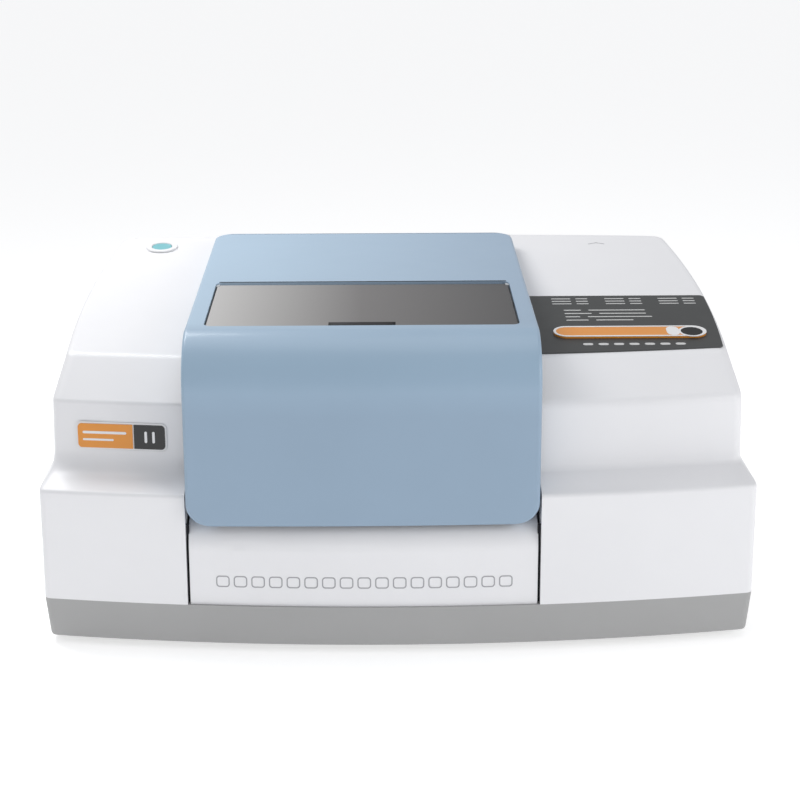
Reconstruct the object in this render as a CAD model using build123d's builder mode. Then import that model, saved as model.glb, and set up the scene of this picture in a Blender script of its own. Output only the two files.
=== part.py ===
from build123d import *
import os
from math import cos, radians, sin, tan

os.makedirs("parts", exist_ok=True)

# Bench-top infrared spectrometer. The origin lies on the table under the middle of the
# instrument. The user stands at -Y, +X is to the user's right and +Z is up.

# Whole instrument
width = 548.0
depth = 515.0
foot_height = 6.0
rear_reach = 12.0
clearance = 0.3

# Casing, set out from its foremost point and from the underside of the plinth
wall = 3.0
side_bow = 4.0
front_bow = 25.9
rear_bow = 20.0
rear_taper = 8.0
plinth_height = 31.7
plinth_draft = 2.6
lower_box_height = 85.6
ledge_rise = 11.0
ledge_depth = 29.0
ledge_side = 7.0
upper_wall_height = 50.9
wall_lean = 1.0
roof_setback = 74.0
roof_front_rise = 27.4
roof_rear_setback = 234.0
roof_slope = 10.0
roof_front_side = 20.0
roof_mid_side = 17.5
roof_rear_side = 31.0
roof_front_bow = 13.4
roof_rear_bow = 9.3
corner_radius = 14.0
upper_corner_radius = 22.0
roof_round = 3.0
crease_round = 5.0
shoulder_round = 2.0
left_ledge_round = 8.0
right_ledge_round = 3.0

# Middle bay between the two housings
left_housing_width = 114.7
right_housing_width = 168.6
bay_gap = 0.4

# Raised sample cover
cover_gap = 1.2
cover_wall = 3.0
cover_bottom = 96.0
brow_start = 197.0
fold_setback = 33.0
fold_height = 238.3
cover_slope = 4.8
cover_rear_setback = 195.0
cover_skirt = 36.0
cover_corner = 16.0
cover_rear_corner = 14.0

# Window flap in the cover
window_side = 14.85
window_setback = 40.5
window_depth = 119.0
window_corner = 6.0
flap_sink = 1.0
flap_thickness = 2.4
flap_side_gap = 1.5
flap_rear_gap = 3.0
notch_width = 50.0
notch_depth = 11.0
flap_pin_radius = 1.0
flap_barrel_radius = 1.9

# Cover hinge
hinge_rear_reach = 12.0
hinge_height = 240.0
hinge_pin_radius = 3.0
hinge_barrel_radius = 6.0
hinge_arm_width = 10.0
hinge_ear_width = 5.0
hinge_inset = 42.0
running_fit = 0.05

# Deck and sample compartment
deck_setback = 38.0
deck_height = 180.0
deck_slope = 8.0
riser_gap = 16.0
tub_wall = 2.5
tub_setback = 48.0
tub_rear_setback = 287.0
tub_side = 18.35
tub_floor = 36.0
flange_width = 10.0
flange_thickness = 2.0
gasket_width = 7.0
gasket_height = 4.0
liner_wall = 3.0

# Beam, which crosses the sample compartment from right to left
beam_setback = 125.0
beam_height = 112.0
port_bore = 12.0
port_tube = 15.0
port_flange = 22.0
port_flange_thickness = 4.0
port_window_thickness = 4.0

# Optical bench
tray_floor = 3.0
tray_wall = 6.0
mount_height = 10.0
mount_radius = 10.0
bench_thickness = 12.0
bench_side = 24.0
bench_setback = 52.0
bench_rear_setback = 48.0
mirror_radius = 22.0
mirror_thickness = 6.0

# Derived places
front = -depth / 2
rear_wall = depth / 2 - rear_reach
ground = foot_height
corner_half = width / 2 - side_bow
rear_half = width / 2 - rear_taper
roof_front_half = width / 2 - roof_front_side
roof_mid_half = width / 2 - roof_mid_side
roof_rear_half = width / 2 - roof_rear_side
roof_length = depth - roof_rear_setback
bay_left = left_housing_width - width / 2
bay_right = width / 2 - right_housing_width
plinth_top = ground + plinth_height
shoulder_z = plinth_top + lower_box_height
ledge_z = shoulder_z + ledge_rise
crease_z = ledge_z + upper_wall_height
roof_front_z = crease_z + roof_front_rise
roof_front_y = front + roof_setback
roof_rear_y = roof_front_y + roof_length
roof_tilt = radians(roof_slope)
cover_tilt = radians(cover_slope)
deck_tilt = radians(deck_slope)
bay_width = bay_right - bay_left
bay_x = (bay_left + bay_right) / 2
cover_left = bay_left + cover_gap
cover_right = bay_right - cover_gap
fold_y = front + fold_setback
fold_z = ground + fold_height
cover_rear = -front - cover_rear_setback
hinge_y = cover_rear - hinge_rear_reach
hinge_z = ground + hinge_height
beam_y = front + beam_setback
beam_z = ground + beam_height
deck_y = front + deck_setback
deck_z = ground + deck_height
riser_y = cover_rear + riser_gap
tub_y = front + tub_setback
tub_depth = depth - tub_rear_setback - tub_setback
tub_width = bay_width - 2 * tub_side
window_width = bay_width - 2 * window_side
bench_half_width = width / 2 - bench_side
bench_length = depth - bench_setback - bench_rear_setback
tub_floor_z = ground + tub_floor
tray_top = ground + tray_floor
bench_bottom = tray_top + mount_height
bench_top = bench_bottom + bench_thickness

roof_plane = Plane((0, roof_front_y, roof_front_z), (1, 0, 0), (0, -sin(roof_tilt), cos(roof_tilt)))
cover_plane = Plane((0, fold_y, fold_z), (1, 0, 0), (0, -sin(cover_tilt), cos(cover_tilt)))
roof_normal = Axis(roof_plane.origin, roof_plane.z_dir)
deck_plane = Plane((0, deck_y, deck_z), (1, 0, 0), (0, -sin(deck_tilt), cos(deck_tilt)))


def save(node, name):
    """Label a finished piece and write it under its node's name."""
    node.part.label = name
    export_step(node.part, "parts/" + name + ".step")


def roof_y(y):
    """Distance up the roof plane of a point that stands at y in plan."""
    return (y - roof_front_y) / cos(roof_tilt)


def cover_y(y):
    """Distance up the cover's top plane of a point that stands at y in plan."""
    return (y - fold_y) / cos(cover_tilt)


def deck_along(y):
    """Distance up the deck plane of a point that stands at y in plan."""
    return (y - deck_y) / cos(deck_tilt)


def roof_z(y):
    """Height of the roof's outer face at y."""
    return roof_front_z + (y - roof_front_y) * tan(roof_tilt)


def cover_z(y):
    """Height of the cover's top face at y."""
    return fold_z + (y - fold_y) * tan(cover_tilt)


def deck_top(y):
    """Height of the deck's top face at y."""
    return deck_z + (y - deck_y) * tan(deck_tilt)


def front_y(x, inset):
    """Depth of the bowed front at x, drawn in by an inset."""
    return front + inset + front_bow * (x / corner_half) ** 2


def bowed_section(plane, halves, ends, bows, radius):
    """Closed outline with four bowed sides and round corners, on a plane of its own.

    halves are its half widths at the front, middle and rear, ends its front and rear in
    the plane, and bows how far its corners stand in from those ends.
    """
    half_front, half_mid, half_rear = halves
    near, far = ends
    near_bow, far_bow = bows
    middle = (near + far) / 2
    with BuildSketch(plane) as section:
        with BuildLine():
            ThreePointArc((-half_front, near + near_bow), (0, near), (half_front, near + near_bow))
            ThreePointArc((half_front, near + near_bow), (half_mid, middle), (half_rear, far - far_bow))
            ThreePointArc((half_rear, far - far_bow), (0, far), (-half_rear, far - far_bow))
            ThreePointArc((-half_rear, far - far_bow), (-half_mid, middle), (-half_front, near + near_bow))
        make_face()
        fillet(section.vertices(), radius)
    return section.sketch


def level_section(z, end_inset, side_inset, radius):
    """Casing outline at a height, drawn in at its two ends and at its sides."""
    halves = (corner_half - side_inset, width / 2 - side_inset, rear_half - side_inset)
    ends = (front + end_inset, rear_wall - end_inset)
    return bowed_section(Plane.XY.offset(z), halves, ends, (front_bow, rear_bow), radius)


def roof_section(inset):
    """Outline of the sloping roof, with an inset for the inside of the casing."""
    halves = (roof_front_half - inset, roof_mid_half - inset, roof_rear_half - inset)
    ends = (inset, roof_y(roof_rear_y) - inset)
    bows = (roof_front_bow, roof_rear_bow)
    radius = upper_corner_radius - inset
    return bowed_section(roof_plane.offset(-inset), halves, ends, bows, radius)


def casing_form(inset):
    """The whole upper casing as one closed form, or its inside when there is an inset."""
    start = plinth_top - (1.0 if inset else 0.0)
    upper_radius = upper_corner_radius - inset
    with BuildPart() as form:
        loft(
            [
                level_section(start, inset, inset, corner_radius - inset),
                level_section(shoulder_z - inset, inset, inset, corner_radius - inset),
                level_section(ledge_z - inset, ledge_depth + inset, ledge_side + inset, upper_radius),
                level_section(
                    crease_z - inset / 2,
                    ledge_depth + wall_lean + inset,
                    ledge_side + wall_lean + inset,
                    upper_radius,
                ),
                roof_section(inset),
            ],
            ruled=True,
        )
    return form.part


def level_edges(form, z):
    """Edges of a form that lie at one height."""
    return [edge for edge in form.edges() if all(abs((edge @ share).Z - z) < 0.01 for share in (0, 0.5, 1))]


def roof_edges(form):
    """Edges of a form that lie in the roof plane."""
    return [
        edge
        for edge in form.edges()
        if all(abs(roof_plane.to_local_coords(edge @ share).Z) < 0.01 for share in (0, 0.5, 1))
    ]


def rounded_form(ledge_round):
    """Outside of the casing with soft edges, and a ledge that meets the wall in a hollow."""
    with BuildPart() as form:
        add(casing_form(0.0))
        fillet(roof_edges(form.part), roof_round)
        fillet(level_edges(form.part, crease_z), crease_round)
        fillet(level_edges(form.part, ledge_z), ledge_round)
        fillet(level_edges(form.part, shoulder_z), shoulder_round)
    return form.part


left_form = rounded_form(left_ledge_round)
right_form = rounded_form(right_ledge_round)
inner_form = casing_form(wall)
with BuildPart() as left_inner:
    add(inner_form)
    split(bisect_by=Plane.YZ.offset(bay_left - wall), keep=Keep.BOTTOM)
left_inside = left_inner.part
with BuildPart() as right_inner:
    add(inner_form)
    split(bisect_by=Plane.YZ.offset(bay_right + wall), keep=Keep.TOP)
right_inside = right_inner.part

# Plinth: a tray with a drafted rim, which carries everything
foot_radius = 14.0
foot_side = 69.0
foot_front = 92.0
foot_rear = 80.0
foot_x = width / 2 - foot_side
plinth_low = level_section(ground, plinth_draft, plinth_draft, corner_radius)
plinth_high = level_section(plinth_top, 0.0, 0.0, corner_radius)
tray_low = level_section(tray_top, tray_wall, tray_wall, corner_radius - tray_wall)
tray_high = level_section(plinth_top + 1, tray_wall, tray_wall, corner_radius - tray_wall)
foot_places = [
    (-foot_x, front + foot_front),
    (foot_x, front + foot_front),
    (-foot_x, rear_wall - foot_rear),
    (foot_x, rear_wall - foot_rear),
]
with BuildPart() as base_tray:
    loft([plinth_low, plinth_high], ruled=True)
    loft([tray_low, tray_high], ruled=True, mode=Mode.SUBTRACT)
save(base_tray, "base_tray")

with BuildPart() as rubber_feet:
    with BuildSketch(Plane.XY):
        with Locations(*foot_places):
            Circle(foot_radius)
    extrude(amount=foot_height)
    chamfer(rubber_feet.faces().sort_by(Axis.Z)[0].edges(), 1.0)
save(rubber_feet, "rubber_feet")

# Left and right housings: open below, with an inner wall along the bay
inner_cut_setback = 252.0
inner_cut_rear = 58.0
inner_cut_length = depth - inner_cut_setback - inner_cut_rear
inner_cut_height = 120.0
cut_reach = 10.0
port_plane = Plane((0, beam_y, beam_z), (0, 1, 0), (1, 0, 0))


def cut_bay_wall(x):
    """Beam port and the rear cable opening, through the housing wall at x."""
    with BuildSketch(port_plane.offset(x - cut_reach)) as port:
        Circle(port_tube + clearance)
    extrude(port.sketch, amount=2 * cut_reach, mode=Mode.SUBTRACT)
    low = plinth_top - 2
    with BuildSketch(Plane.YZ.offset(x - cut_reach)) as passage:
        with Locations((front + inner_cut_setback + inner_cut_length / 2, low + inner_cut_height / 2)):
            Rectangle(inner_cut_length, inner_cut_height)
    extrude(passage.sketch, amount=2 * cut_reach, mode=Mode.SUBTRACT)


# Badge recess on the left housing's upper front wall
badge_bay_gap = 49.7
badge_width = 70.7
badge_height = 21.9
badge_corner = 4.0
badge_depth = 1.2
badge_drop = 25.8
badge_split = 9.2
badge_x = bay_left - badge_bay_gap
badge_z = crease_z - badge_drop
badge_slope = 2 * front_bow * badge_x / corner_half**2
badge_normal = Vector(badge_slope, -1, 0).normalized()
badge_face_y = front_y(badge_x, ledge_depth + wall_lean / 2)
badge_plane = Plane((badge_x, badge_face_y, badge_z), (1, badge_slope, 0), badge_normal)

# Power button on the left roof
button_bay_gap = 47.7
button_rear_gap = 34.0
button_x = bay_left - button_bay_gap
button_y = roof_rear_y - button_rear_gap
button_radius = 8.5
bezel_radius = 14.0
bezel_height = 1.6
bezel_lip = 2.0

with BuildPart() as left_housing:
    add(left_form)
    split(bisect_by=Plane.YZ.offset(bay_left), keep=Keep.BOTTOM)
    add(left_inside, mode=Mode.SUBTRACT)
    cut_bay_wall(bay_left)
    with BuildSketch(badge_plane.offset(-badge_depth)):
        RectangleRounded(badge_width, badge_height, badge_corner)
    extrude(amount=20, mode=Mode.SUBTRACT)
    with BuildSketch(roof_plane.offset(-20)):
        with Locations((button_x, roof_y(button_y))):
            Circle(bezel_radius - bezel_lip)
    extrude(amount=40, mode=Mode.SUBTRACT)
save(left_housing, "left_housing")

# Observation lens in the right roof
lens_side = 22.2
lens_roof_gap = 41.5
lens_x = roof_front_half - lens_side
lens_y = roof_front_y + lens_roof_gap
lens_radius = 8.5
lens_hole = 7.0

with BuildPart() as right_housing:
    add(right_form)
    split(bisect_by=Plane.YZ.offset(bay_right), keep=Keep.TOP)
    add(right_inside, mode=Mode.SUBTRACT)
    cut_bay_wall(bay_right)
    with BuildSketch(roof_plane.offset(-20)):
        with Locations((lens_x, roof_y(lens_y))):
            Circle(lens_hole)
    extrude(amount=40, mode=Mode.SUBTRACT)
save(right_housing, "right_housing")

# Middle bay: the lower front panel, which curls back under the cover
panel_gap = 2.0
panel_wall = 3.0
panel_straight = 43.0
panel_curl = 23.0
panel_lip = 12.0
panel_set = 2.0
panel_left = bay_left + panel_gap
panel_right = bay_right - panel_gap
panel_width = panel_right - panel_left
bow_radius = (corner_half**2 + front_bow**2) / (2 * front_bow)
bow_axis = Axis((0, front + bow_radius, 0), (0, 0, 1))
panel_sweep = 16.0

with BuildPart() as front_panel:
    with BuildSketch(Plane.YZ) as panel_profile:
        with BuildLine() as panel_line:
            y0 = front + panel_set
            z0 = plinth_top + panel_straight
            Line((y0, plinth_top), (y0, z0))
            RadiusArc((y0, z0), (y0 + panel_curl, z0 + panel_curl), panel_curl)
            Line((y0 + panel_curl, z0 + panel_curl), (y0 + panel_curl + panel_lip, z0 + panel_curl))
            offset(amount=panel_wall, side=Side.RIGHT)
        make_face()
    revolve(axis=bow_axis, revolution_arc=panel_sweep)
    front_panel.part = front_panel.part.rotate(bow_axis, -panel_sweep / 2)
    with BuildSketch(Plane.XY):
        with Locations(((panel_left + panel_right) / 2, front)):
            Rectangle(panel_width, 4 * (panel_curl + panel_lip))
    extrude(amount=depth, mode=Mode.INTERSECT)
save(front_panel, "front_panel")

# Middle deck: hinge trough, ridge and rear slope between the housings, with an apron in front
deck_wall = 3.0
deck_left = bay_left + bay_gap
deck_right = bay_right - bay_gap
deck_width = deck_right - deck_left
deck_x = (deck_left + deck_right) / 2
deck_length = (riser_y - deck_y) / cos(deck_tilt)
tub_left = bay_x - tub_width / 2
tub_right = bay_x + tub_width / 2
connector_side = 37.35
connector_width = bay_width - 2 * connector_side
connector_height = 66.0
connector_rise = 42.0
connector_z = plinth_top + connector_rise
connector_recess = 8.0
vent_count = 14
vent_pitch = 12.0
vent_width = 4.0
vent_height = 30.0

with BuildPart() as centre_deck:
    add(right_form)
    with BuildSketch(Plane.XY):
        with Locations((deck_x, riser_y)):
            Rectangle(deck_width, depth, align=(Align.CENTER, Align.MIN))
    extrude(amount=depth, mode=Mode.INTERSECT)
    with BuildSketch(Plane.XY):
        with Locations((deck_x, riser_y + deck_wall)):
            Rectangle(deck_width, depth, align=(Align.CENTER, Align.MIN))
    deck_room = extrude(amount=depth, mode=Mode.PRIVATE)
    add(inner_form & deck_room, mode=Mode.SUBTRACT)
    with BuildSketch(Plane.XY):
        with Locations((deck_x, riser_y - 1)):
            Rectangle(deck_width + 2, deck_wall + 1, align=(Align.CENTER, Align.MIN))
    extrude(amount=deck_top(riser_y) - deck_wall, mode=Mode.SUBTRACT)
    with BuildSketch(Plane.YZ.offset(deck_left)):
        with BuildLine():
            Polyline(
                (deck_y, deck_z),
                (riser_y + deck_wall, deck_top(riser_y + deck_wall)),
                (riser_y + deck_wall, deck_top(riser_y + deck_wall) - deck_wall),
                (deck_y + deck_wall, deck_top(deck_y + deck_wall) - deck_wall),
                (deck_y + deck_wall, plinth_top + panel_straight + panel_curl),
                (deck_y, plinth_top + panel_straight + panel_curl),
                close=True,
            )
        make_face()
    extrude(amount=deck_width)
    with BuildSketch(Plane.XY.offset(plinth_top)):
        with Locations((bay_x, tub_y)):
            Rectangle(tub_width + 2 * bay_gap, tub_depth + bay_gap, align=(Align.CENTER, Align.MIN))
    extrude(amount=depth, mode=Mode.SUBTRACT)
    with BuildSketch(Plane.XZ.offset(-rear_wall + 40)):
        with Locations((bay_x, connector_z)):
            RectangleRounded(connector_width, connector_height, 4)
        with Locations((bay_x, (ledge_z + crease_z) / 2)):
            with GridLocations(vent_pitch, 1, vent_count, 1):
                SlotOverall(vent_height, vent_width, rotation=90)
    extrude(amount=-60, mode=Mode.SUBTRACT)
save(centre_deck, "centre_deck")

# Sample cover: a hood whose skirt follows its brow, open below and behind its front
brow_rise = fold_height - brow_start
brow_radius = (fold_setback**2 + brow_rise**2) / (2 * fold_setback)
skirt_line = 196.0
skirt_front_top = 185.0
skirt_fold = 24.0


def hood_outline(inset, depth_in):
    """Side outline of the cover, from its front foot over the brow to its rear edge."""
    y0 = front + inset
    low = ground + cover_bottom - (20 if inset else 0)
    brow_z = ground + brow_start
    top_front = (fold_y + inset * sin(cover_tilt), fold_z - inset * cos(cover_tilt))
    rear = cover_rear - inset
    top_rear = (rear, cover_z(rear) - inset / cos(cover_tilt))
    drop = skirt_line + (rear - roof_front_y) * tan(roof_tilt) + ground - depth_in
    mid_y = front + cover_skirt + skirt_fold + depth_in
    mid_z = skirt_line + (mid_y - roof_front_y) * tan(roof_tilt) + ground - depth_in
    inner_y = front + cover_skirt + depth_in
    with BuildSketch(Plane.YZ.offset(cover_left + inset)) as side:
        with BuildLine():
            foot = Line((y0, low), (y0, brow_z))
            brow = TangentArc(foot @ 1, top_front, tangent=(0, 1))
            top = Line(brow @ 1, top_rear)
            back = Line(top @ 1, (rear, drop))
            Polyline(back @ 1, (mid_y, mid_z), (inner_y, ground + skirt_front_top - depth_in), (inner_y, low))
            Line((inner_y, low), (y0, low))
        make_face()
    return side.sketch


cover_width = cover_right - cover_left
opening_y = front + window_setback
opening_mid = (cover_y(opening_y) + cover_y(opening_y + window_depth)) / 2
opening_length = window_depth / cos(cover_tilt)

with BuildPart() as sample_cover:
    extrude(hood_outline(0.0, 0.0), amount=cover_width)
    extrude(hood_outline(cover_wall, 12.0), amount=cover_width - 2 * cover_wall, mode=Mode.SUBTRACT)
    with BuildSketch(Plane.XZ.offset(-front)) as front_view:
        with Locations((bay_x, ground + cover_bottom)):
            Rectangle(cover_width, 2 * depth, align=(Align.CENTER, Align.MIN))
        fillet(front_view.vertices().group_by(Axis.Z)[0], cover_corner)
    extrude(amount=-depth, mode=Mode.INTERSECT)
    with BuildSketch(Plane.XY) as plan_view:
        with Locations((bay_x, cover_rear)):
            Rectangle(cover_width, 2 * depth, align=(Align.CENTER, Align.MAX))
        fillet(plan_view.vertices().group_by(Axis.Y)[-1], cover_rear_corner)
    extrude(amount=depth, mode=Mode.INTERSECT)
    with BuildSketch(cover_plane.offset(-cover_wall * 2)):
        with Locations((bay_x, opening_mid)):
            RectangleRounded(window_width, opening_length, window_corner)
    extrude(amount=cover_wall * 4, mode=Mode.SUBTRACT)
save(sample_cover, "sample_cover")

# Cover liner: the light-tight frame inside the cover, with the seat of the window flap
liner_top = -cover_wall
seat_top = -(flap_sink + flap_thickness + clearance + 1.6)
seat_thickness = 2.6
seat_width = 7.0
liner_tub_gap = 7.0
liner_rear_gap = 6.0
liner_width = tub_width + flange_width
liner_front = tub_y - liner_tub_gap
liner_rear = tub_y + tub_depth + liner_rear_gap
ear_width = 3.0
ear_length = 6.0
pin_y = cover_y(opening_y + window_depth) - flap_rear_gap - flap_barrel_radius
pin_drop = flap_sink + flap_barrel_radius
seal_drop = flange_thickness + gasket_height + clearance
pin_end = 1.0

with BuildPart() as cover_liner:
    with BuildSketch(Plane.XY.offset(plinth_top)):
        with Locations((bay_x, (liner_front + liner_rear) / 2)):
            Rectangle(liner_width, liner_rear - liner_front)
            Rectangle(liner_width - 2 * liner_wall, liner_rear - liner_front - 2 * liner_wall, mode=Mode.SUBTRACT)
    extrude(amount=depth)
    with BuildSketch(cover_plane.offset(seat_top)):
        with Locations((bay_x, (cover_y(liner_front) + cover_y(liner_rear)) / 2)):
            Rectangle(liner_width - liner_wall, (liner_rear - liner_front) / cos(cover_tilt) - liner_wall)
        with Locations((bay_x, opening_mid)):
            RectangleRounded(window_width - 2 * seat_width, opening_length - 2 * seat_width, 4, mode=Mode.SUBTRACT)
    extrude(amount=-seat_thickness)
    split(bisect_by=cover_plane.offset(liner_top), keep=Keep.BOTTOM)
    split(bisect_by=deck_plane.offset(seal_drop), keep=Keep.TOP)
    with BuildSketch(cover_plane.offset(seat_top)):
        with Locations((bay_x, opening_mid)):
            RectangleRounded(window_width + clearance, opening_length + clearance, window_corner)
    extrude(amount=cover_wall * 4, mode=Mode.SUBTRACT)
    for side in (-1, 1):
        with BuildSketch(cover_plane.offset(seat_top)):
            with Locations((bay_x + side * (window_width / 2 - ear_width / 2), pin_y)):
                Rectangle(ear_width, ear_length)
        extrude(amount=-seat_top - flap_sink)
    ear_plane = Plane(cover_plane.from_local_coords((bay_x, pin_y, -pin_drop)), (0, 1, 0), (1, 0, 0))
    with BuildSketch(ear_plane.offset(-window_width / 2 - 1)):
        Circle(flap_pin_radius)
    extrude(amount=window_width + 2, mode=Mode.SUBTRACT)
    with BuildSketch(cover_plane.offset(seat_top)):
        with Locations((bay_x, opening_mid)):
            Rectangle(window_width, opening_length)
            RectangleRounded(window_width - clearance, opening_length - clearance, window_corner, mode=Mode.SUBTRACT)
    extrude(amount=cover_wall * 2, mode=Mode.SUBTRACT)
save(cover_liner, "cover_liner")

# Window flap: tinted plate with a rolled hinge barrel along its rear edge and a finger notch
flap_left = bay_x - window_width / 2 + flap_side_gap
flap_right = bay_x + window_width / 2 - flap_side_gap
flap_front = cover_y(opening_y) + clearance * 2
barrel_half = window_width / 2 - ear_width - clearance
with BuildPart() as window_flap:
    with BuildSketch(cover_plane.offset(-flap_sink)) as flap_sketch:
        with Locations((bay_x, flap_front)):
            Rectangle(flap_right - flap_left, pin_y - flap_front, align=(Align.CENTER, Align.MIN))
        fillet(flap_sketch.vertices().group_by(Axis.Y)[0], window_corner - clearance)
        with Locations((bay_x, flap_front)):
            Rectangle(notch_width, notch_depth * 2, mode=Mode.SUBTRACT)
        for side in (-1, 1):
            with Locations((bay_x + side * window_width / 2, pin_y)):
                Rectangle(2 * (ear_width + clearance), ear_length + 4 * clearance, mode=Mode.SUBTRACT)
    extrude(amount=-flap_thickness)
    with BuildSketch(ear_plane.offset(-barrel_half)):
        Circle(flap_barrel_radius)
    extrude(amount=2 * barrel_half)
    with BuildSketch(ear_plane.offset(-barrel_half - 1)):
        Circle(flap_pin_radius + running_fit)
    extrude(amount=2 * barrel_half + 2, mode=Mode.SUBTRACT)
save(window_flap, "window_flap")

with BuildPart() as window_pin:
    with BuildSketch(ear_plane.offset(-window_width / 2 + pin_end)):
        Circle(flap_pin_radius)
    extrude(amount=window_width - 2 * pin_end)
save(window_pin, "window_pin")

# Cover hinge: two arms on the cover, each between two ears of a bracket on the deck
hinge_places = [cover_left + hinge_inset, cover_right - hinge_inset]
hinge_gap = 0.3
bracket_base = 3.0
bracket_length = 26.0
ear_rear = 0.5
ear_length_y = 12.0
bracket_width = hinge_arm_width + 2 * (hinge_gap + hinge_ear_width)
hinge_plane = Plane((0, hinge_y, hinge_z), (0, 1, 0), (1, 0, 0))
arm_thickness = 9.0
pad_length = 24.0
pad_thickness = 3.0

with BuildPart() as cover_hinge_arms:
    for x in hinge_places:
        with BuildSketch(hinge_plane.offset(x - hinge_arm_width / 2)):
            Circle(hinge_barrel_radius)
            with Locations((-arm_thickness / 2 + 1, 0)):
                Rectangle(arm_thickness, cover_z(hinge_y) - hinge_z, align=(Align.CENTER, Align.MIN))
        extrude(amount=hinge_arm_width)
        with BuildSketch(cover_plane.offset(-cover_wall)):
            with Locations((x, cover_y(hinge_y) - pad_length / 2 + 4)):
                Rectangle(bracket_width, pad_length)
        extrude(amount=-pad_thickness)
    split(bisect_by=cover_plane.offset(-cover_wall), keep=Keep.BOTTOM)
    with BuildSketch(hinge_plane.offset(cover_left)):
        Circle(hinge_pin_radius + running_fit)
    extrude(amount=cover_width, mode=Mode.SUBTRACT)
save(cover_hinge_arms, "cover_hinge_arms")

with BuildPart() as hinge_brackets:
    for x in hinge_places:
        for side in (-1, 1):
            edge = x + side * (hinge_arm_width / 2 + hinge_gap + hinge_ear_width / 2) - hinge_ear_width / 2
            with BuildSketch(hinge_plane.offset(edge)):
                Circle(hinge_barrel_radius)
                with Locations((ear_rear, 0)):
                    Rectangle(ear_length_y, hinge_height, align=(Align.MAX, Align.MAX))
            extrude(amount=hinge_ear_width)
        with BuildSketch(deck_plane):
            with Locations((x, deck_along(hinge_y))):
                Rectangle(bracket_width, bracket_length)
        extrude(amount=bracket_base)
    split(bisect_by=deck_plane, keep=Keep.TOP)
    with BuildSketch(hinge_plane.offset(cover_left)):
        Circle(hinge_pin_radius)
    extrude(amount=cover_width, mode=Mode.SUBTRACT)
save(hinge_brackets, "hinge_brackets")

with BuildPart() as cover_hinge_pins:
    for x in hinge_places:
        with BuildSketch(hinge_plane.offset(x - bracket_width / 2)):
            Circle(hinge_pin_radius)
        extrude(amount=bracket_width)
save(cover_hinge_pins, "cover_hinge_pins")

# Sample compartment: a tub hung in the deck by a sloping flange, with its seal
tub_y_mid = tub_y + tub_depth / 2
with BuildPart() as compartment_tub:
    with BuildSketch(Plane.XY.offset(tub_floor_z - tub_wall)):
        with Locations((bay_x, tub_y_mid)):
            Rectangle(tub_width, tub_depth)
    extrude(amount=depth)
    with BuildSketch(Plane.XY.offset(tub_floor_z)):
        with Locations((bay_x, tub_y_mid)):
            Rectangle(tub_width - 2 * tub_wall, tub_depth - 2 * tub_wall)
    extrude(amount=depth, mode=Mode.SUBTRACT)
    split(bisect_by=deck_plane, keep=Keep.BOTTOM)
    with BuildSketch(port_plane.offset(tub_left - cut_reach)):
        Circle(port_tube + running_fit)
    extrude(amount=tub_width + 2 * cut_reach, mode=Mode.SUBTRACT)
save(compartment_tub, "compartment_tub")

with BuildPart() as tub_flange:
    with BuildSketch(deck_plane):
        with Locations((bay_x, deck_along(tub_y_mid))):
            Rectangle(tub_width + 2 * flange_width, tub_depth / cos(deck_tilt) + flange_width)
            Rectangle(tub_width - 2 * tub_wall, (tub_depth - 2 * tub_wall) / cos(deck_tilt), mode=Mode.SUBTRACT)
    extrude(amount=flange_thickness)
save(tub_flange, "tub_flange")

with BuildPart() as compartment_gasket:
    with BuildSketch(deck_plane.offset(flange_thickness)):
        with Locations((bay_x, (deck_along(liner_front) + deck_along(liner_rear)) / 2)):
            Rectangle(liner_width + 4, (liner_rear - liner_front) / cos(deck_tilt) + 4)
            Rectangle(
                liner_width + 4 - 2 * gasket_width,
                (liner_rear - liner_front) / cos(deck_tilt) + 4 - 2 * gasket_width,
                mode=Mode.SUBTRACT,
            )
    extrude(amount=gasket_height)
save(compartment_gasket, "compartment_gasket")

# Beam ports: a flanged tube through each side of the compartment, with a salt window in it
port_length = bay_width / 2 - tub_width / 2 + wall + 2.0


def port_ring(x, inward):
    """Flanged tube from x, inside the compartment, out through the housing's wall."""
    with BuildPart() as ring:
        with BuildSketch(port_plane.offset(x)) as plate:
            Circle(port_flange)
            Circle(port_bore, mode=Mode.SUBTRACT)
        extrude(plate.sketch, amount=inward * port_flange_thickness)
        with BuildSketch(port_plane.offset(x)) as tube:
            Circle(port_tube)
            Circle(port_bore, mode=Mode.SUBTRACT)
        extrude(tube.sketch, amount=-inward * (port_length + tub_wall))
    return ring


def port_window(x, inward):
    """Round salt window seated in the bore of a port ring."""
    with BuildPart() as pane:
        with BuildSketch(port_plane.offset(x)) as disc:
            Circle(port_bore - running_fit)
        extrude(disc.sketch, amount=-inward * port_window_thickness)
    return pane


port_sides = [(tub_left + tub_wall, 1), (tub_right - tub_wall, -1)]
with BuildPart() as port_rings:
    for x, inward in port_sides:
        add(port_ring(x, inward).part)
save(port_rings, "port_rings")
with BuildPart() as port_windows:
    for x, inward in port_sides:
        add(port_window(x, inward).part)
save(port_windows, "port_windows")

# Sample holder: a plate with an aperture, which lifts out of two grooved posts
sample_plate_thickness = 3.0
sample_plate_width = 76.0
sample_plate_height = 104.0
sample_aperture = 12.0
guide_depth = 4.0
guide_thickness = 12.0
guide_width = 10.0
guide_height = 90.0
base_length = 104.0
base_width = 64.0
base_thickness = 5.0
holder_gap = 0.3
tab_width = 24.0
tab_height = 14.0
base_top = tub_floor_z + base_thickness

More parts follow.
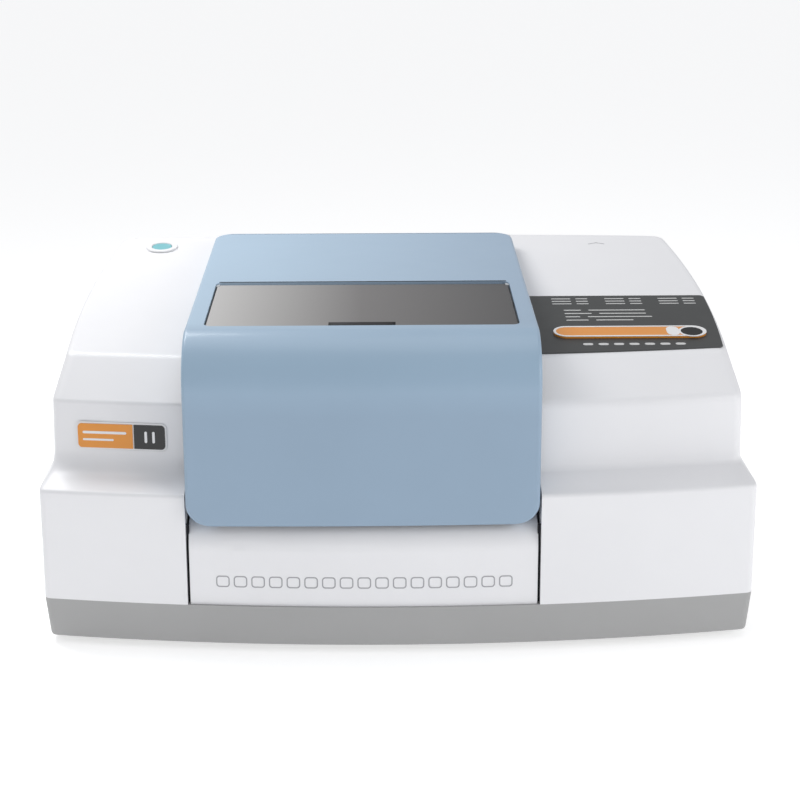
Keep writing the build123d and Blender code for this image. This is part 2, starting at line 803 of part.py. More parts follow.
with BuildPart() as sample_stand:
    with BuildSketch(Plane.XY.offset(tub_floor_z)):
        with Locations((bay_x, beam_y)):
            RectangleRounded(base_width, base_length, 5)
    extrude(amount=base_thickness)
    for side in (-1, 1):
        with BuildSketch(Plane.XY.offset(base_top)):
            with Locations((bay_x, beam_y + side * (sample_plate_width / 2 + guide_width / 2 - guide_depth))):
                Rectangle(guide_thickness, guide_width)
        extrude(amount=guide_height)
    with BuildSketch(Plane.XY.offset(base_top)):
        with Locations((bay_x, beam_y)):
            Rectangle(sample_plate_thickness + 2 * holder_gap, sample_plate_width + 2 * holder_gap)
    extrude(amount=guide_height, mode=Mode.SUBTRACT)
save(sample_stand, "sample_stand")

sample_face = Plane((bay_x - sample_plate_thickness / 2, beam_y, base_top + holder_gap), (0, 1, 0), (1, 0, 0))
with BuildPart() as sample_holder:
    with BuildSketch(sample_face):
        Rectangle(sample_plate_width, sample_plate_height, align=(Align.CENTER, Align.MIN))
        with Locations((0, sample_plate_height)):
            Rectangle(tab_width, tab_height, align=(Align.CENTER, Align.MIN))
        with Locations((0, beam_z - base_top - holder_gap)):
            Circle(sample_aperture, mode=Mode.SUBTRACT)
    extrude(amount=sample_plate_thickness)
    fillet(sample_holder.edges().filter_by(Axis.X).group_by(Axis.Z)[-1], 5)
save(sample_holder, "sample_holder")

clip_thickness = 0.8
clip_width = 8.0
clip_length = 34.0
clip_rise = 3.0
with BuildPart() as sample_clips:
    for side in (-1, 1):
        clip_y = beam_y + side * (sample_aperture + clip_width)
        clip_x = bay_x - sample_plate_thickness / 2
        with BuildSketch(Plane.XZ.offset(-clip_y - clip_width / 2)) as clip_side:
            with BuildLine():
                Polyline(
                    (clip_x, beam_z + clip_length / 2),
                    (clip_x, beam_z + clip_length / 4),
                    (clip_x - clip_rise, beam_z),
                    (clip_x - clip_thickness, beam_z - clip_length / 2),
                    (clip_x - clip_rise, beam_z - clip_length / 2 - clip_rise),
                    (clip_x - clip_rise - clip_thickness, beam_z - clip_length / 2 - clip_rise),
                    (clip_x - 2 * clip_thickness, beam_z - clip_length / 2),
                    (clip_x - clip_rise - clip_thickness, beam_z),
                    (clip_x - clip_thickness, beam_z + clip_length / 4),
                    (clip_x - clip_thickness, beam_z + clip_length / 2),
                    close=True,
                )
            make_face()
        extrude(amount=clip_width)
save(sample_clips, "sample_clips")

# Power button: a metal ring let into the roof, with a sprung cap
cap_gap = 0.4
button_well = 6.0
with BuildPart() as button_bezel:
    with BuildSketch(roof_plane):
        with Locations((button_x, roof_y(button_y))):
            Circle(bezel_radius)
            Circle(button_radius + cap_gap, mode=Mode.SUBTRACT)
    extrude(amount=bezel_height)
    with BuildSketch(roof_plane):
        with Locations((button_x, roof_y(button_y))):
            Circle(bezel_radius - bezel_lip - clearance)
            Circle(button_radius + cap_gap, mode=Mode.SUBTRACT)
    extrude(amount=-button_well - wall)
    with BuildSketch(roof_plane.offset(-button_well - wall)):
        with Locations((button_x, roof_y(button_y))):
            Circle(bezel_radius - bezel_lip - clearance)
    extrude(amount=-1.5)
    chamfer(button_bezel.faces().sort_by(roof_normal)[-1].edges(), 0.5)
save(button_bezel, "button_bezel")

with BuildPart() as power_button:
    with BuildSketch(roof_plane.offset(bezel_height - 0.6)):
        with Locations((button_x, roof_y(button_y))):
            Circle(button_radius)
    extrude(amount=-button_well)
save(power_button, "power_button")

# Badge plates in the recess of the left housing, bare
badge_rim = 1.6
badge_plate_thickness = 1.0
badge_split_local = badge_split / badge_plane.x_dir.X
with BuildPart() as badge_plate:
    with BuildSketch(badge_plane.offset(-badge_depth)):
        RectangleRounded(badge_width - 2 * clearance, badge_height - 2 * clearance, badge_corner)
    extrude(amount=badge_plate_thickness)
save(badge_plate, "badge_plate")


def badge_field(start, end):
    """Inlay of the badge between two distances along it."""
    with BuildPart() as field:
        with BuildSketch(badge_plane.offset(badge_plate_thickness - badge_depth)) as outline:
            RectangleRounded(badge_width - 2 * badge_rim, badge_height - 2 * badge_rim, badge_corner - 1)
            with Locations(((start + end) / 2, 0)):
                Rectangle(end - start, badge_height, mode=Mode.INTERSECT)
        extrude(outline.sketch, amount=0.5)
    return field


badge_colour_field = badge_field(-badge_width, badge_split_local - 0.5)
save(badge_colour_field, "badge_colour_field")
badge_dark_field = badge_field(badge_split_local + 0.5, badge_width)
save(badge_dark_field, "badge_dark_field")

# Dark information panel on the right roof, and the observation window of the drying agent
label_thickness = 0.8
label_inset = 2.4
label_depth = 123.0
label_left = bay_right + label_inset / 2
pill_bay_gap = 17.6
pill_side = 10.4
pill_roof_gap = 43.0
pill_left = bay_right + pill_bay_gap
pill_right = roof_front_half - pill_side
pill_y = roof_front_y + pill_roof_gap
pill_height = 21.0
pill_thickness = 1.6
with BuildPart() as label_plate:
    with BuildSketch(roof_plane) as label_sketch:
        add(roof_plane.to_local_coords(roof_section(0.0)))
        offset(amount=-label_inset)
        with Locations((label_left, 0)):
            Rectangle(width, roof_y(roof_front_y + label_depth), align=(Align.MIN, Align.MIN), mode=Mode.INTERSECT)
        with Locations((lens_x, roof_y(lens_y))):
            Circle(lens_hole, mode=Mode.SUBTRACT)
    extrude(amount=label_thickness)
save(label_plate, "label_plate")

with BuildPart() as observation_bezel:
    with BuildSketch(roof_plane.offset(label_thickness)):
        with Locations(((pill_left + pill_right) / 2, roof_y(pill_y))):
            SlotOverall(pill_right - pill_left, pill_height)
        with Locations((lens_x, roof_y(lens_y))):
            Circle(lens_radius + clearance, mode=Mode.SUBTRACT)
    extrude(amount=pill_thickness)
save(observation_bezel, "observation_bezel")

with BuildPart() as indicator_lens:
    with BuildSketch(roof_plane.offset(label_thickness)):
        with Locations((lens_x, roof_y(lens_y))):
            Circle(lens_radius)
    extrude(amount=pill_thickness + 0.6)
    fillet(indicator_lens.faces().sort_by(roof_normal)[-1].edges(), 1.0)
    with BuildSketch(roof_plane.offset(label_thickness)):
        with Locations((lens_x, roof_y(lens_y))):
            Circle(lens_hole - clearance)
    extrude(amount=-label_thickness - wall - 3.0)
save(indicator_lens, "indicator_lens")

canister_radius = 20.0
canister_length = 62.0
canister_neck = lens_hole + 1.5
with BuildPart() as desiccant_canister:
    with BuildSketch(roof_plane.offset(-wall)):
        with Locations((lens_x - 8, roof_y(lens_y) + 4)):
            Circle(canister_radius)
    extrude(amount=-canister_length)
    with BuildSketch(roof_plane.offset(-wall)):
        with Locations((lens_x, roof_y(lens_y))):
            Circle(canister_neck - 1.2)
    extrude(amount=-4.0, mode=Mode.SUBTRACT)
save(desiccant_canister, "desiccant_canister")

# Connector panel in the rear of the middle deck
panel_thickness = 2.0
connector_y = rear_wall - connector_recess
inlet_x = bay_x + 62.0
inlet_width = 27.0
inlet_height = 20.0
inlet_depth = 24.0
inlet_flange_width = 48.0
inlet_flange_height = 29.0
inlet_flange = 2.5
inlet_wall = 1.8
switch_x = bay_x + 20.0
switch_width = 14.0
switch_height = 20.0
switch_flange = 2.0
switch_lip = 2.0
rocker_angle = 10.0
usb_x = bay_x - 12.0
usb_width = 12.0
usb_height = 11.0
usb_depth = 14.0
usb_wall = 1.5
fitting_x = bay_x - 55.0
fitting_pitch = 34.0
fitting_hex = 7.0
fitting_hex_length = 5.0
fitting_barb = 3.4
fitting_bore = 1.6
panel_frame = 6.0
panel_plane = Plane((0, connector_y, connector_z), (-1, 0, 0), (0, 1, 0))

with BuildPart() as rear_panel:
    with BuildSketch(panel_plane):
        with Locations((-bay_x, 0)):
            Rectangle(connector_width + 2 * panel_frame, connector_height + 2 * panel_frame)
        with Locations((-inlet_x, 0)):
            Rectangle(inlet_width + clearance, inlet_height + clearance, mode=Mode.SUBTRACT)
        with Locations((-switch_x, 0)):
            Rectangle(switch_width + clearance, switch_height + clearance, mode=Mode.SUBTRACT)
        with Locations((-usb_x, 0)):
            Rectangle(usb_width + clearance, usb_height + clearance, mode=Mode.SUBTRACT)
        with Locations((-fitting_x, 0)):
            with GridLocations(fitting_pitch, 1, 2, 1):
                Circle(fitting_barb + clearance, mode=Mode.SUBTRACT)
    extrude(amount=-panel_thickness)
save(rear_panel, "rear_panel")

with BuildPart() as mains_inlet:
    with BuildSketch(panel_plane):
        with Locations((-inlet_x, 0)):
            RectangleRounded(inlet_flange_width, inlet_flange_height, 5)
    extrude(amount=inlet_flange)
    with BuildSketch(panel_plane):
        with Locations((-inlet_x, 0)):
            Rectangle(inlet_width, inlet_height)
    extrude(amount=-inlet_depth)
    with BuildSketch(panel_plane.offset(inlet_flange)):
        with Locations((-inlet_x, 0)):
            Rectangle(inlet_width - 2 * inlet_wall, inlet_height - 2 * inlet_wall)
    extrude(amount=-inlet_depth, mode=Mode.SUBTRACT)
save(mains_inlet, "mains_inlet")

blade_length = 16.0
blade_pitch = 7.0
with BuildPart() as inlet_blades:
    with BuildSketch(panel_plane.offset(inlet_flange - inlet_depth)):
        with Locations((-inlet_x - blade_pitch, -2), (-inlet_x, 2), (-inlet_x + blade_pitch, -2)):
            Rectangle(2, 4)
    extrude(amount=blade_length)
save(inlet_blades, "inlet_blades")

switch_well = switch_width - 2 * switch_lip
switch_room = switch_height - 2 * switch_lip
rocker_half = switch_room / 2 - 0.8
rocker_axis_y = connector_y - 4.0
rocker_plane = Plane((switch_x, rocker_axis_y, connector_z), (0, 1, 0), (1, 0, 0))
pivot_radius = 1.2
pivot_reach = 1.4
with BuildPart() as switch_frame:
    with BuildSketch(panel_plane):
        with Locations((-switch_x, 0)):
            Rectangle(switch_width + 4, switch_height + 4)
    extrude(amount=switch_flange)
    with BuildSketch(panel_plane):
        with Locations((-switch_x, 0)):
            Rectangle(switch_width, switch_height)
    extrude(amount=-16)
    with BuildSketch(panel_plane.offset(switch_flange)):
        with Locations((-switch_x, 0)):
            Rectangle(switch_well, switch_room)
    extrude(amount=-14, mode=Mode.SUBTRACT)
    with BuildSketch(rocker_plane.offset(-switch_well / 2 - pivot_reach)):
        Circle(pivot_radius + running_fit)
    extrude(amount=switch_well + 2 * pivot_reach, mode=Mode.SUBTRACT)
save(switch_frame, "switch_frame")

rocker_rise = 7.0
rocker_width = switch_well - 2 * clearance
with BuildPart() as power_rocker:
    with BuildSketch(rocker_plane.offset(-rocker_width / 2)):
        with BuildLine():
            Polyline((-3, -3), (-3, 3), (3, rocker_half - 1), (rocker_rise - 0.5, rocker_half - 1))
            Line((rocker_rise - 0.5, rocker_half - 1), (rocker_rise - 1.5, 0))
            Line((rocker_rise - 1.5, 0), (rocker_rise - 0.5, 1 - rocker_half))
            Polyline((rocker_rise - 0.5, 1 - rocker_half), (3, 1 - rocker_half), (-3, -3))
        make_face()
    extrude(amount=rocker_width)
    power_rocker.part = power_rocker.part.rotate(Axis(rocker_plane.origin, (1, 0, 0)), -rocker_angle)
    with BuildSketch(rocker_plane.offset(-switch_well / 2 - pivot_reach + clearance)):
        Circle(pivot_radius)
    extrude(amount=switch_well + 2 * (pivot_reach - clearance))
save(power_rocker, "power_rocker")

with BuildPart() as usb_socket:
    with BuildSketch(panel_plane.offset(1)):
        with Locations((-usb_x, 0)):
            Rectangle(usb_width, usb_height)
            Rectangle(usb_width - 2 * usb_wall, usb_height - 2 * usb_wall, mode=Mode.SUBTRACT)
    extrude(amount=-usb_depth)
    with BuildSketch(panel_plane.offset(1 - usb_depth)):
        with Locations((-usb_x, 0)):
            Rectangle(usb_width, usb_height)
    extrude(amount=-1.5)
save(usb_socket, "usb_socket")

fitting_reach = rear_reach + connector_recess
fitting_tail = 10.0
barb_pitch = 3.0
with BuildPart() as purge_fittings:
    for side in (-1, 1):
        place = (-fitting_x + side * fitting_pitch / 2, 0)
        with BuildSketch(panel_plane):
            with Locations(place):
                RegularPolygon(fitting_hex, 6)
        extrude(amount=fitting_hex_length)
        with BuildSketch(panel_plane.offset(-fitting_tail)):
            with Locations(place):
                Circle(fitting_barb)
        extrude(amount=fitting_tail + fitting_reach)
        for barb in (0, 1):
            with BuildSketch(panel_plane.offset(fitting_reach - (2 - barb) * barb_pitch)):
                with Locations(place):
                    Circle(fitting_barb + 1)
            extrude(amount=barb_pitch, taper=18)
        with BuildSketch(panel_plane.offset(-fitting_tail)):
            with Locations(place):
                Circle(fitting_bore)
        extrude(amount=fitting_tail + fitting_reach, mode=Mode.SUBTRACT)
save(purge_fittings, "purge_fittings")

screw_radius = 3.0
screw_height = 1.8
with BuildPart() as panel_screws:
    with BuildSketch(panel_plane):
        with Locations((-bay_x, 0)):
            with GridLocations(connector_width - 14, connector_height - 14, 2, 2):
                Circle(screw_radius)
    extrude(amount=screw_height)
    chamfer(panel_screws.faces().sort_by(Axis.Y)[-1].edges(), 0.5)
save(panel_screws, "panel_screws")

# Optical bench on four rubber mounts, with a bay left out for the electronics
electronics_width = 222.0
electronics_length = 215.0
mount_side = 25.0
mount_front = 45.0
mount_corner = 40.0
bench_y = front + bench_setback
mount_places = [
    (-bench_half_width + mount_side, bench_y + mount_front),
    (bench_half_width - mount_side, bench_y + mount_front),
    (-bench_half_width + mount_side, bench_y + bench_length - electronics_length - mount_side),
    (bench_half_width - mount_corner, bench_y + bench_length - mount_side),
]
with BuildPart() as bench_mounts:
    with BuildSketch(Plane.XY.offset(tray_top)):
        with Locations(*mount_places):
            Circle(mount_radius)
    extrude(amount=mount_height)
save(bench_mounts, "bench_mounts")

bench_skin = 5.0
rib_pitch = 58.0
pocket_size = 50.0
pocket_side = 140.0
bench_corner = 12.0
pad_margin = 4.0
with BuildPart() as optical_bench:
    with BuildSketch(Plane.XY.offset(bench_bottom)) as bench_sketch:
        with Locations((0, bench_y)):
            Rectangle(2 * bench_half_width, bench_length, align=(Align.CENTER, Align.MIN))
        with Locations((-bench_half_width, bench_y + bench_length)):
            Rectangle(electronics_width, electronics_length, align=(Align.MIN, Align.MAX), mode=Mode.SUBTRACT)
        fillet(bench_sketch.vertices(), bench_corner)
    extrude(amount=bench_thickness)
    with BuildSketch(Plane.XY.offset(bench_bottom)):
        with Locations((bench_half_width - pocket_side, bench_y + bench_length / 2)):
            with GridLocations(rib_pitch, rib_pitch, 4, 6):
                RectangleRounded(pocket_size, pocket_size, bench_corner / 2)
    extrude(amount=bench_thickness - bench_skin, mode=Mode.SUBTRACT)
    for place in mount_places:
        with BuildSketch(Plane.XY.offset(bench_bottom)) as pad:
            with Locations(place):
                Circle(mount_radius + pad_margin)
        extrude(pad.sketch, amount=bench_thickness)
save(optical_bench, "optical_bench")

# Optics. Each mirror is a disc on a post; turn is the direction that its face looks in plan
foot_plate = 34.0
foot_plate_height = 5.0
optics_side = 60.0
scan_rear = 115.0
splitter_gap = 82.0
source_gap = 156.0
detector_side = 35.0
optics_x = bench_half_width - optics_side
scan_y = bench_y + bench_length - scan_rear
splitter_y = scan_y - splitter_gap
source_x = optics_x - source_gap
detector_x = detector_side - bench_half_width
backing_margin = 4.0
stalk_width = 20.0
fixed_mirror_gap = 52.0


def mirror_mount(x, y, turn, radius):
    """Foot, post and back plate that hold a mirror whose face looks along turn."""
    facing = Plane((x, y, beam_z), (-sin(radians(turn)), cos(radians(turn)), 0), (cos(radians(turn)), sin(radians(turn)), 0))
    with BuildPart() as mount:
        with BuildSketch(Plane.XY.offset(bench_top)) as foot:
            with Locations((x, y)):
                Rectangle(foot_plate, foot_plate, rotation=turn)
        extrude(foot.sketch, amount=foot_plate_height)
        with BuildSketch(facing.offset(-mirror_thickness)) as back:
            Circle(radius + backing_margin)
            with Locations((0, -(beam_z - bench_top) / 2)):
                Rectangle(stalk_width, beam_z - bench_top)
        extrude(back.sketch, amount=-mirror_thickness)
    return mount


def mirror_disc(x, y, turn, radius):
    """Mirror with a slightly hollow face, seated on its mount."""
    facing = Plane((x, y, beam_z), (-sin(radians(turn)), cos(radians(turn)), 0), (cos(radians(turn)), sin(radians(turn)), 0))
    curve = radius * 3
    with BuildPart() as disc:
        with BuildSketch(facing.offset(-mirror_thickness)) as blank:
            Circle(radius)
        extrude(blank.sketch, amount=mirror_thickness)
        hollow = Plane(facing.offset(curve - 2).origin)
        with Locations(hollow):
            Sphere(curve, mode=Mode.SUBTRACT)
    return disc


bench_mirrors = [
    (optics_x, beam_y, 135.0),
    (source_x, splitter_y, 45.0),
    (detector_x, beam_y, 45.0),
]
fixed_mirror_place = (optics_x + fixed_mirror_gap, splitter_y, 180.0)
with BuildPart() as mirror_mounts:
    for x, y, turn in bench_mirrors + [fixed_mirror_place]:
        add(mirror_mount(x, y, turn, mirror_radius).part)
save(mirror_mounts, "mirror_mounts")
with BuildPart() as collecting_mirrors:
    for x, y, turn in bench_mirrors:
        add(mirror_disc(x, y, turn, mirror_radius).part)
save(collecting_mirrors, "collecting_mirrors")
fixed_mirror = mirror_disc(*fixed_mirror_place, mirror_radius)
save(fixed_mirror, "fixed_mirror")

# Beamsplitter in a ring on its own foot
splitter_thickness = 5.0
splitter_rim = 6.0
splitter_turn = 135.0
splitter_facing = Plane(
    (optics_x, splitter_y, beam_z),
    (-sin(radians(splitter_turn)), cos(radians(splitter_turn)), 0),
    (cos(radians(splitter_turn)), sin(radians(splitter_turn)), 0),
)
with BuildPart() as beamsplitter_mount:
    with BuildSketch(splitter_facing.offset(-splitter_thickness)):
        Circle(mirror_radius + splitter_rim)
        with Locations((0, -(beam_z - bench_top) / 2)):
            Rectangle(foot_plate, beam_z - bench_top)
        Circle(mirror_radius + running_fit, mode=Mode.SUBTRACT)
    extrude(amount=2 * splitter_thickness)
save(beamsplitter_mount, "beamsplitter_mount")

with BuildPart() as beamsplitter:
    with BuildSketch(splitter_facing.offset(-splitter_thickness / 2)):
        Circle(mirror_radius)
    extrude(amount=splitter_thickness)
save(beamsplitter, "beamsplitter")

# Moving mirror on a dovetail slide, driven by a voice coil in a magnet pot
slide_length = 70.0
slide_width = 30.0
slide_height = 22.0
carriage_length = 34.0
carriage_clear = 0.3
carriage_y = scan_y
coil_radius = 14.0
coil_length = 26.0
rail_top = bench_top + slide_height
with BuildPart() as scan_slide:
    with BuildSketch(Plane.XY.offset(bench_top)):
        with Locations((optics_x, carriage_y)):
            Rectangle(slide_width + 12, slide_length)
    extrude(amount=slide_height - 8)
    with BuildSketch(Plane.XY.offset(rail_top - 8)):
        with Locations((optics_x, carriage_y)):
            Rectangle(slide_width - 14, slide_length)
    extrude(amount=8)
save(scan_slide, "scan_slide")

with BuildPart() as mirror_carriage:
    with BuildSketch(Plane.XY.offset(rail_top - 8 + carriage_clear)):
        with Locations((optics_x, carriage_y)):
            Rectangle(slide_width, carriage_length)
            Rectangle(slide_width - 14 + 2 * carriage_clear, carriage_length, mode=Mode.SUBTRACT)
    extrude(amount=8)
    with BuildSketch(Plane.XY.offset(rail_top + carriage_clear)):
        with Locations((optics_x, carriage_y)):
            Rectangle(slide_width, carriage_length)
    extrude(amount=6)
    with BuildSketch(Plane.XZ.offset(-carriage_y + carriage_length / 2)):
        with Locations((optics_x, (beam_z + rail_top) / 2)):
            Rectangle(slide_width - 6, beam_z - rail_top - 4)
        with Locations((optics_x, beam_z)):
            Circle(mirror_radius)
    extrude(amount=-8)
save(mirror_carriage, "mirror_carriage")

with BuildPart() as moving_mirror:
    with BuildSketch(Plane.XZ.offset(-carriage_y + carriage_length / 2)):
        with Locations((optics_x, beam_z)):
            Circle(mirror_radius - 2)
    extrude(amount=mirror_thickness)
save(moving_mirror, "moving_mirror")

coil_y = carriage_y - carriage_length / 2 + 8
with BuildPart() as voice_coil:
    with BuildSketch(Plane.XZ.offset(-coil_y)):
        with Locations((optics_x, beam_z)):
            Circle(coil_radius)
            Circle(coil_radius - 3, mode=Mode.SUBTRACT)
    extrude(amount=-coil_length - 14)
save(voice_coil, "voice_coil")

magnet_gap = 1.0
magnet_wall = 8.0
coil_wall = 3.0
magnet_y = coil_y + 24.0
magnet_length = 40.0
magnet_radius = coil_radius + magnet_gap + magnet_wall
with BuildPart() as magnet_pot:
    with BuildSketch(Plane.XZ.offset(-magnet_y)):
        with Locations((optics_x, beam_z)):
            Circle(magnet_radius)
            Circle(coil_radius + magnet_gap, mode=Mode.SUBTRACT)
            Circle(coil_radius - coil_wall - magnet_gap)
    extrude(amount=-magnet_length)
    with BuildSketch(Plane.XZ.offset(-magnet_y - magnet_length)):
        with Locations((optics_x, beam_z)):
            Circle(magnet_radius)
        with Locations((optics_x, (beam_z + bench_top) / 2)):
            Rectangle(slide_width + 10, beam_z - bench_top)
    extrude(amount=-magnet_wall)
save(magnet_pot, "magnet_pot")

# Infrared source: finned block on a foot, with the glowing rod in its mouth
source_reach = 62.0
source_y = splitter_y + source_reach
source_size = 44.0
source_mouth = 20.0
source_rise = 24.0
source_bore = 11.0
source_shift = 4.0
fin_count = 6
fin_pitch = 7.0
fin_gap = 3.0
fin_depth = 24.0
fin_start = 30.0
with BuildPart() as source_housing:
    with BuildSketch(Plane.XY.offset(bench_top)):
        with Locations((source_x, source_y)):
            Rectangle(source_size, source_size)
    extrude(amount=beam_z - bench_top + source_rise)
    with BuildSketch(Plane.XY.offset(bench_top + fin_start)):
        with Locations((source_x + source_size / 2, source_y)):
            with GridLocations(1, fin_pitch, 1, fin_count):
                Rectangle(fin_depth, fin_gap)
    extrude(amount=depth, mode=Mode.SUBTRACT)
    with BuildSketch(Plane.XZ.offset(-source_y + source_size / 2)):
        with Locations((source_x - source_shift, beam_z)):
            Circle(source_bore)
    extrude(amount=-source_mouth, mode=Mode.SUBTRACT)
save(source_housing, "source_housing")

rod_size = 5.0
rod_length = 18.0
with BuildPart() as source_element:
    with BuildSketch(Plane.XZ.offset(-source_y + source_size / 2 - source_mouth)):
        with Locations((source_x - source_shift, beam_z)):
            Rectangle(rod_size, rod_length)
    extrude(amount=rod_size)
save(source_element, "source_element")

# Reference laser tube in two saddles, and its pick-up
laser_radius = 14.0
laser_length = 130.0
laser_gap = 58.0
laser_lead = 42.0
laser_rise = 34.0
laser_x = optics_x - laser_gap
laser_y = scan_y - laser_lead
laser_z = bench_top + laser_rise
saddle_width = 44.0
saddle_thickness = 12.0
with BuildPart() as reference_laser:
    with BuildSketch(Plane.XZ.offset(-laser_y)):
        with Locations((laser_x, laser_z)):
            Circle(laser_radius)
    extrude(amount=-laser_length)
    chamfer(reference_laser.edges(), 1.5)
save(reference_laser, "reference_laser")

with BuildPart() as laser_saddles:
    for share in (0.22, 0.78):
        with BuildSketch(Plane.XZ.offset(-laser_y - share * laser_length)) as saddle:
            with Locations((laser_x, bench_top)):
                Rectangle(saddle_width, laser_z - bench_top + 4, align=(Align.CENTER, Align.MIN))
            with Locations((laser_x, laser_z)):
                Circle(laser_radius + running_fit, mode=Mode.SUBTRACT)
        extrude(amount=-saddle_thickness)
save(laser_saddles, "laser_saddles")

# Detector can on a post, looking back at its mirror, with its amplifier board behind
detector_reach = 66.0
detector_y = beam_y + detector_reach
can_radius = 15.0
can_length = 22.0
board_thickness = 1.6
with BuildPart() as detector_housing:
    with BuildSketch(Plane.XZ.offset(-detector_y)):
        with Locations((detector_x, beam_z)):
            Circle(can_radius)
            Circle(can_radius - 4, mode=Mode.SUBTRACT)
    extrude(amount=-can_length)
    with BuildSketch(Plane.XZ.offset(-detector_y - can_length)):
        with Locations((detector_x, beam_z)):
            Rectangle(50, 50)
        with Locations((detector_x, (bench_top + beam_z) / 2)):
            Rectangle(30, beam_z - bench_top)
    extrude(amount=-6)
save(detector_housing, "detector_housing")

with BuildPart() as detector_window:
    with BuildSketch(Plane.XZ.offset(-detector_y - 1)):
        with Locations((detector_x, beam_z)):
            Circle(can_radius - 4)
    extrude(amount=-3)
save(detector_window, "detector_window")

with BuildPart() as preamp_board:
    with BuildSketch(Plane.XZ.offset(-detector_y - can_length - 6)):
        with Locations((detector_x, beam_z)):
            Rectangle(60, 54)
    extrude(amount=-board_thickness)
    with BuildSketch(Plane.XZ.offset(-detector_y - can_length - 6 - board_thickness)):
        with Locations((detector_x, beam_z)):
            with GridLocations(18, 17, 3, 2):
                Rectangle(11, 9)
    extrude(amount=-3)
save(preamp_board, "preamp_board")

# Electronics: power supply case and main board on pillars, on the floor of the plinth
supply_side = 40.0
supply_front = 100.0
supply_x = supply_side - bench_half_width
supply_y = bench_y + bench_length - electronics_length + supply_front
supply_width = 84.0
supply_length = 150.0
supply_height = 44.0
board_gap = 118.0
board_x = supply_x + board_gap
board_width = 118.0
board_length = 160.0
pillar_height = 12.0
pillar_radius = 3.5
board_z = tray_top + pillar_height
with BuildPart() as power_supply:
    with BuildSketch(Plane.XY.offset(tray_top)):
        with Locations((supply_x, supply_y)):
            Rectangle(supply_width, supply_length)
    extrude(amount=supply_height)
    with BuildSketch(Plane.XY.offset(tray_top + supply_height - 2)):
        with Locations((supply_x, supply_y)):
            with GridLocations(12, 14, 6, 8):
                Circle(3)
    extrude(amount=4, mode=Mode.SUBTRACT)
save(power_supply, "power_supply")

with BuildPart() as board_pillars:
    with BuildSketch(Plane.XY.offset(tray_top)):
        with Locations((board_x, supply_y)):
            with GridLocations(board_width - 12, board_length - 12, 2, 2):
                Circle(pillar_radius)
    extrude(amount=pillar_height)
save(board_pillars, "board_pillars")

with BuildPart() as main_board:
    with BuildSketch(Plane.XY.offset(board_z)):
        with Locations((board_x, supply_y)):
            Rectangle(board_width, board_length)
    extrude(amount=board_thickness)
    with BuildSketch(Plane.XY.offset(board_z + board_thickness)):
        with Locations((board_x, supply_y)):
            with GridLocations(34, 36, 3, 4):
                Rectangle(20, 20)
    extrude(amount=4)
    with BuildSketch(Plane.XY.offset(board_z + board_thickness)):
        with Locations((board_x - board_width / 2 + 6, supply_y)):
            Rectangle(8, 60)
    extrude(amount=12)
save(main_board, "main_board")
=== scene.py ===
import math

import bmesh
import bpy
from mathutils import Matrix, Vector


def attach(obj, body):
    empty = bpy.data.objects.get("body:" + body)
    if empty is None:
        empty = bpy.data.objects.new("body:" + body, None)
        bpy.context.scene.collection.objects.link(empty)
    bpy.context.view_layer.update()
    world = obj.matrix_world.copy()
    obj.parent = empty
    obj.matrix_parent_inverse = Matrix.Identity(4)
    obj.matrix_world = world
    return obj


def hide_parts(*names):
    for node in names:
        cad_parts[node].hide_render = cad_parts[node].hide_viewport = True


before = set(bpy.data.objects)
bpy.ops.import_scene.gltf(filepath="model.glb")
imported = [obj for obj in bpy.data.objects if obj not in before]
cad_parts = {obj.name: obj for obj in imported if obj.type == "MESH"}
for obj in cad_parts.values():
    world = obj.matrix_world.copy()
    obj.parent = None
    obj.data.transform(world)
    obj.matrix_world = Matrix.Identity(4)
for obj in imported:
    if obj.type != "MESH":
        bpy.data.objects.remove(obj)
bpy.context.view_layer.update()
MM = 0.001

# Sizes in millimetres, as in the construction model
DEPTH = 515.0
FRONT = -DEPTH / 2
WIDTH = 548.0
GROUND = 6.0
REAR = DEPTH / 2 - 12.0
CORNER_HALF = WIDTH / 2 - 4.0
REAR_HALF = 266.0
FRONT_BOW = 25.9
REAR_BOW = 20.0
PLINTH_TOP = GROUND + 31.7
SHOULDER_Z = PLINTH_TOP + 85.6
LEDGE_Z = SHOULDER_Z + 11.0
CREASE_Z = LEDGE_Z + 50.9
ROOF_Z = CREASE_Z + 27.4
ROOF_Y = FRONT + 74.0
ROOF_LENGTH = 281.0
ROOF_TILT = math.radians(10.0)
BAY_LEFT = -159.3
BAY_RIGHT = 105.4
COVER_LEFT = BAY_LEFT + 1.2
COVER_RIGHT = BAY_RIGHT - 1.2
COVER_TILT = math.radians(4.8)
FOLD_Y = FRONT + 33.0
FOLD_Z = GROUND + 238.3
BAY_X = (BAY_LEFT + BAY_RIGHT) / 2
CORNER = 6.0
UPPER_CORNER = 8.0
CORNER_SHARE = 0.95
ROOF_HALVES = (254.0, 256.5, 243.0)
ROOF_BOWS = (13.4, 9.3)
ROOF_DEPTH = ROOF_LENGTH / math.cos(ROOF_TILT)
SHOULDER_REACH = 2.6
ROOF_REACH = 4.5
COVER_FOOT = 96.0
COVER_BROW = 197.0
COVER_REAR = FRONT + 320.0
COVER_SKIN = 2.6
FOOT_ROUND = 16
REAR_ROUND = 14
WINDOW_WIDTH = 235.0
WINDOW_DEPTH = 119.0
WINDOW_Y = FRONT + 40.5 + WINDOW_DEPTH / 2
LABEL_DEPTH = 123.0
LABEL_GAP = 1.2
PANEL_GAP = 1.2
BUTTON_X = -207.0
BUTTON_Y = FRONT + 321.0
PILL_LEFT = 123.0
PILL_RIGHT = 243.6
PILL_Y = FRONT + 117.0
LENS_X = 231.8
LENS_Y = FRONT + 115.5


# Materials

def new_material(name):
    """An empty node material and its principled shader."""
    material = bpy.data.materials.new(name)
    material.use_nodes = True
    shader = material.node_tree.nodes["Principled BSDF"]
    return material, shader


